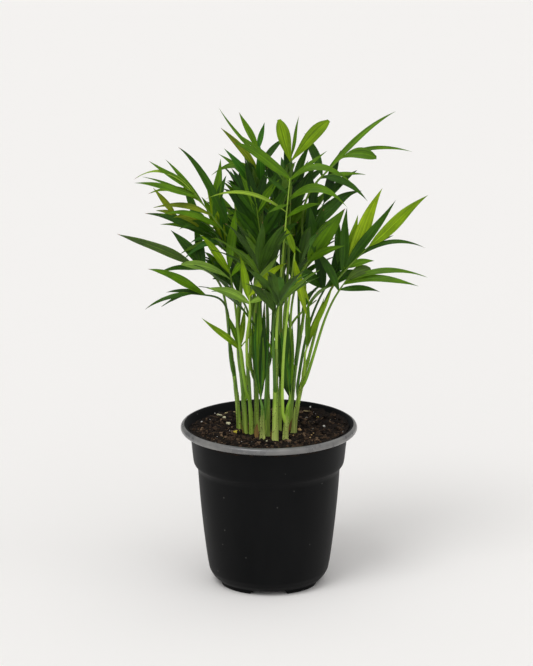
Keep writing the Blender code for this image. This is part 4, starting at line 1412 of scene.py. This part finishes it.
FIBRE_COLOUR = (0.120, 0.075, 0.040)
CLEAR_OF_WALL = 1.4

# What the photo shows lying on the soil: kind, place across and back, length, width and thickness.
SHOWN_BITS = (
    ("chip", (-31.5, 46), (5.2, 2.6, 1.0)), ("chip", (-25.2, 47), (3.4, 2.0, 0.9)),
    ("pale", (-36.4, 35), (4.4, 3.2, 1.6)), ("pale", (-33.0, 32), (2.6, 2.0, 1.2)),
    ("pale", (-29.8, 18.5), (3.2, 3.6, 2.4)), ("perlite", (-49.2, 19), (1.3, 1.2, 1.0)),
    ("yellow", (-23.7, -3.5), (5.0, 3.2, 1.8)), ("chip", (-32.9, -16.5), (2.6, 1.6, 1.0)),
    ("perlite", (7.9, -25.0), (1.3, 1.4, 1.0)), ("pale", (-1.7, -27.5), (2.0, 1.4, 1.0)),
    ("tan", (22.6, 3.2), (3.8, 3.0, 2.4)), ("chip", (27.6, 43.5), (5.6, 1.9, 0.9)),
    ("perlite", (29.5, 46.5), (1.7, 1.5, 1.2)), ("perlite", (28.0, 31.5), (1.8, 1.3, 1.0)),
    ("perlite", (40.7, 11.5), (1.7, 1.8, 1.4)), ("tan", (15.7, -8.0), (1.7, 1.5, 1.2)),
    ("tan", (18.0, -8.8), (1.5, 1.2, 1.0)), ("tan", (29.5, -6.5), (1.2, 1.1, 0.9)),
    ("tan", (31.6, -10.5), (1.4, 1.0, 0.9)), ("tan", (30.3, -14.0), (1.2, 1.2, 0.9)),
    ("tan", (32.8, -3.5), (1.1, 1.0, 0.9)), ("chip", (8, 40), (2.8, 1.2, 0.8)),
    ("chip", (-4, 44), (3.4, 1.4, 0.8)), ("yellow", (36, 30), (1.8, 1.4, 1.0)),
)
BIT_COLOURS = {
    "chip": (0.460, 0.370, 0.180),
    "pale": (0.640, 0.610, 0.400),
    "perlite": (0.720, 0.710, 0.670),
    "yellow": (0.560, 0.470, 0.050),
    "tan": (0.520, 0.330, 0.150),
}


def bank_share(x, y):
    """How much of the bank a point has, from nothing in the middle to all of it at the wall."""
    return (math.hypot(x, y) / SOIL_TOP_RADIUS) ** SOIL_BANK_POWER


def soil_height(x, y):
    """The soil's uneven level in millimetres, banked up against the wall, less so on its low side."""
    height = SOIL_LEVEL + SOIL_RISE
    for spacing, rise in SOIL_LUMPS:
        height += rise * noise.noise(Vector((x / spacing, y / spacing, spacing)))
    low_side = max(x * SOIL_LOW_SIDE[0] + y * SOIL_LOW_SIDE[1], 0) / SOIL_TOP_RADIUS
    return height + SOIL_BANK * bank_share(x, y) * (1 - SOIL_BANK_LOSS * low_side ** 2)


def soil_point(x, y, lift=0.0):
    """A point on the soil, or this far above it, spread outward where the bank climbs the pot's flange."""
    height = soil_height(x, y)
    climb = max(min(height, POT_HEIGHT - SOIL_BELOW_LIP) - COLLAR_TOP[1], 0) * FLANGE_SLOPE
    wider = 1 + climb * bank_share(x, y) / SOIL_TOP_RADIUS
    return Vector((x * wider, y * wider, height + lift))


def soil_body():
    """The plug of soil, closed, with its uneven top."""
    wall = [(radius - GAP, height + GAP) for radius, height in inner_profile()]
    below = [(radius, height) for radius, height in wall if height < SOIL_LEVEL - SOIL_PLUG_DROP]
    top = [(SOIL_TOP_RADIUS * (1 - k / SOIL_RINGS), SOIL_LEVEL) for k in range(SOIL_RINGS + 1)]
    corners, faces = turned_shape(below + top, SOIL_STEPS)
    for corner in corners:
        if corner.z > SOIL_LEVEL - SOIL_TOP_BAND:
            corner.xyz = soil_point(corner.x, corner.y)
    return corners, faces


def lump_template(subdivisions):
    shape = bmesh.new()
    bmesh.ops.create_icosphere(shape, subdivisions=subdivisions, radius=1.0)
    corners = [vert.co.copy() for vert in shape.verts]
    faces = [tuple(vert.index for vert in face.verts) for face in shape.faces]
    shape.free()
    return corners, faces


def lump(template, centre, size, rng, roughness=LUMP_ROUGHNESS):
    """A small uneven lump with these three sizes, turned at random."""
    corners, faces = template
    turn = Matrix.Rotation(rng.uniform(0, 2 * math.pi), 3, "Z")
    turn = turn @ Matrix.Rotation(rng.uniform(-LUMP_TILT, LUMP_TILT), 3, "X")
    offset = Vector([rng.uniform(0, LUMP_SHIFT) for _ in range(3)])
    made = []
    for corner in corners:
        swell = 1 + roughness * noise.noise(corner * LUMP_GRAIN + offset) * 2
        scaled = Vector(part * half / 2 for part, half in zip(corner * swell, size))
        made.append(centre + turn @ scaled)
    return made, faces


def on_soil(rng, clear=CLEAR_OF_WALL):
    """A random place on the soil, as far in from the wall as it needs."""
    distance = (SOIL_TOP_RADIUS - clear) * math.sqrt(rng.random())
    return on_circle(distance, rng.uniform(0, 2 * math.pi))


def small_size(sizes, power, rng):
    """A random size between two, more often a small one."""
    return between(*sizes, rng.random() ** power)


def build_crumbs():
    rng = random.Random(CRUMB_SEED)
    coarse, fine = lump_template(1), lump_template(2)
    crumbs = Pile()
    for _ in range(CRUMBS):
        x, y = on_soil(rng, CRUMB_MARGIN)
        size = small_size(CRUMB_SIZES, 3, rng)
        centre = soil_point(x, y, size * CRUMB_LIFT)
        sizes = (size * 2, size * rng.uniform(*CRUMB_WIDTHS), size * rng.uniform(*CRUMB_HEIGHTS))
        template = fine if size > FINE_CRUMB else coarse
        crumbs.add(*lump(template, centre, sizes, rng, CRUMB_ROUGHNESS), rng.choice(CRUMB_CHOICE))
    surfaces = [earth_material(name, *colours) for name, colours in CRUMB_EARTHS.items()]
    piece_from("soil_crumbs", crumbs, surfaces, SOIL_SHARP)


def build_bits():
    """Perlite, bark and shell-like chips: those that the photo shows, and a random scatter of perlite."""
    rng = random.Random(BIT_SEED)
    template = lump_template(2)
    kinds = list(BIT_COLOURS)
    piles = {kind: Pile() for kind in kinds}
    for kind, (x, y), size in SHOWN_BITS:
        piles[kind].add(*lump(template, soil_point(x, y, size[2] * BIT_LIFT), size, rng))
    for _ in range(PERLITE):
        x, y = on_soil(rng)
        size = small_size(PERLITE_SIZES, 2, rng)
        sizes = [size * share for share in PERLITE_SHAPE]
        piles["perlite"].add(*lump(template, soil_point(x, y, size * PERLITE_LIFT), sizes, rng))
    bits = Pile()
    for number, kind in enumerate(kinds):
        bits.add(piles[kind].corners, piles[kind].faces, number)
    surfaces = [grain_material("soil_" + kind, BIT_COLOURS[kind]) for kind in kinds]
    piece_from("soil_chips", bits, surfaces, SOIL_SHARP)


def fibre_line(rng):
    """A bent line that lies on the soil, a little raised in its middle."""
    x, y = on_soil(rng, FIBRE_MARGINS[0])
    length = rng.uniform(*FIBRE_LENGTHS)
    heading = rng.uniform(0, 2 * math.pi)
    bend = rng.uniform(-FIBRE_BEND, FIBRE_BEND)
    low, rise = FIBRE_LIFT
    line = []
    for k in range(len(FIBRE_RADII)):
        t = k / (len(FIBRE_RADII) - 1)
        across, back = on_circle(length * t, heading + bend * t)
        line.append(soil_point(x + across, y + back, low + rise * math.sin(math.pi * t)))
    return line


def build_fibres():
    """Short root and bark fibres, lying flat."""
    rng = random.Random(FIBRE_SEED)
    pile = Pile()
    for _ in range(FIBRES):
        line = fibre_line(rng)
        if max(math.hypot(point.x, point.y) for point in line) <= SOIL_TOP_RADIUS - FIBRE_MARGINS[1]:
            pile.add(*round_tube(line, FIBRE_RADII, FIBRE_SIDES))
    surface = grain_material("soil_fibre", FIBRE_COLOUR)
    piece_from("soil_fibres", pile, [surface], SOIL_SHARP)


def build_soil():
    pile = Pile()
    pile.add(*soil_body())
    earth = earth_material("potting_soil", *SOIL_EARTH, scale=420)
    soil = piece_from("soil_bed", pile, [earth], SOIL_SHARP)
    facing_out(soil)
    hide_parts("soil")
    build_crumbs()
    build_bits()
    build_fibres()


# Stage: floor, light and camera. Lengths are metres here, and the camera's sensor is in millimetres.
FLOOR_SIZE = 14.0
FLOOR_COLOUR = (0.930, 0.915, 0.900)
WORLD_COLOUR = (1.0, 0.99, 0.98)
WORLD_STRENGTH = 0.26
CAMERA_DISTANCE = 4.0
CAMERA_TARGET = Vector((-0.00176, 0, 0.19021))
CAMERA_ELEVATION = math.radians(16)
CAMERA_SENSOR = 36.0
CAMERA_FAR = 50
PICTURE_HEIGHT = 0.48805

# Soft distant lights, even over the whole floor: name, where each comes from, its angle and strength.
LIGHTS = (
    ("key_light", (-0.8, -1.2, 2.0), 26, 0.85),
    ("soft_light", (-0.6, -1.4, 1.8), 70, 0.90),
    ("fill_light", (1.6, -1.3, 1.2), 60, 0.55),
    ("top_light", (0.4, 0.6, 2.0), 70, 0.55),
    ("front_light", (-0.3, -2.0, 0.45), 50, 0.30),
)


def build_floor():
    mesh = bpy.data.meshes.new("floor")
    half = FLOOR_SIZE / 2
    corners = [(-half, -half, 0), (half, -half, 0), (half, half, 0), (-half, half, 0)]
    mesh.from_pydata(corners, [], [(0, 1, 2, 3)])
    surface, _, _ = blank_material("floor_paper", FLOOR_COLOUR, roughness=0.9, specular=0.0)
    mesh.materials.append(surface)
    add_object("floor", mesh)


def look_along(obj, direction):
    obj.rotation_euler = direction.to_track_quat("-Z", "Y").to_euler()


def build_lights():
    world = bpy.data.worlds.new("studio")
    world.use_nodes = True
    background = world.node_tree.nodes["Background"]
    set_inputs(world.node_tree, background, {"Color": WORLD_COLOUR, "Strength": WORLD_STRENGTH})
    bpy.context.scene.world = world
    for name, place, angle, strength in LIGHTS:
        lamp = bpy.data.lights.new(name, "SUN")
        lamp.angle = math.radians(angle)
        lamp.energy = strength
        obj = add_object(name, lamp)
        obj.location = place
        look_along(obj, -Vector(place))


def build_camera():
    data = bpy.data.cameras.new("camera")
    data.sensor_width = CAMERA_SENSOR
    data.lens = CAMERA_SENSOR * CAMERA_DISTANCE / PICTURE_HEIGHT
    data.clip_end = CAMERA_FAR
    camera = add_object("camera", data)
    back = Vector((0, -math.cos(CAMERA_ELEVATION), math.sin(CAMERA_ELEVATION)))
    camera.location = CAMERA_TARGET + back * CAMERA_DISTANCE
    look_along(camera, -back)
    bpy.context.scene.camera = camera
    bpy.context.scene.view_settings.view_transform = "Standard"


def main():
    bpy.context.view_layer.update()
    for name in ("Cube", "Light", "Camera"):
        if name in bpy.data.objects:
            bpy.data.objects.remove(bpy.data.objects[name])
    build_pot()
    build_soil()
    build_stems()
    build_husks()
    build_fronds()
    build_floor()
    build_lights()
    build_camera()
    bpy.context.view_layer.update()


main()
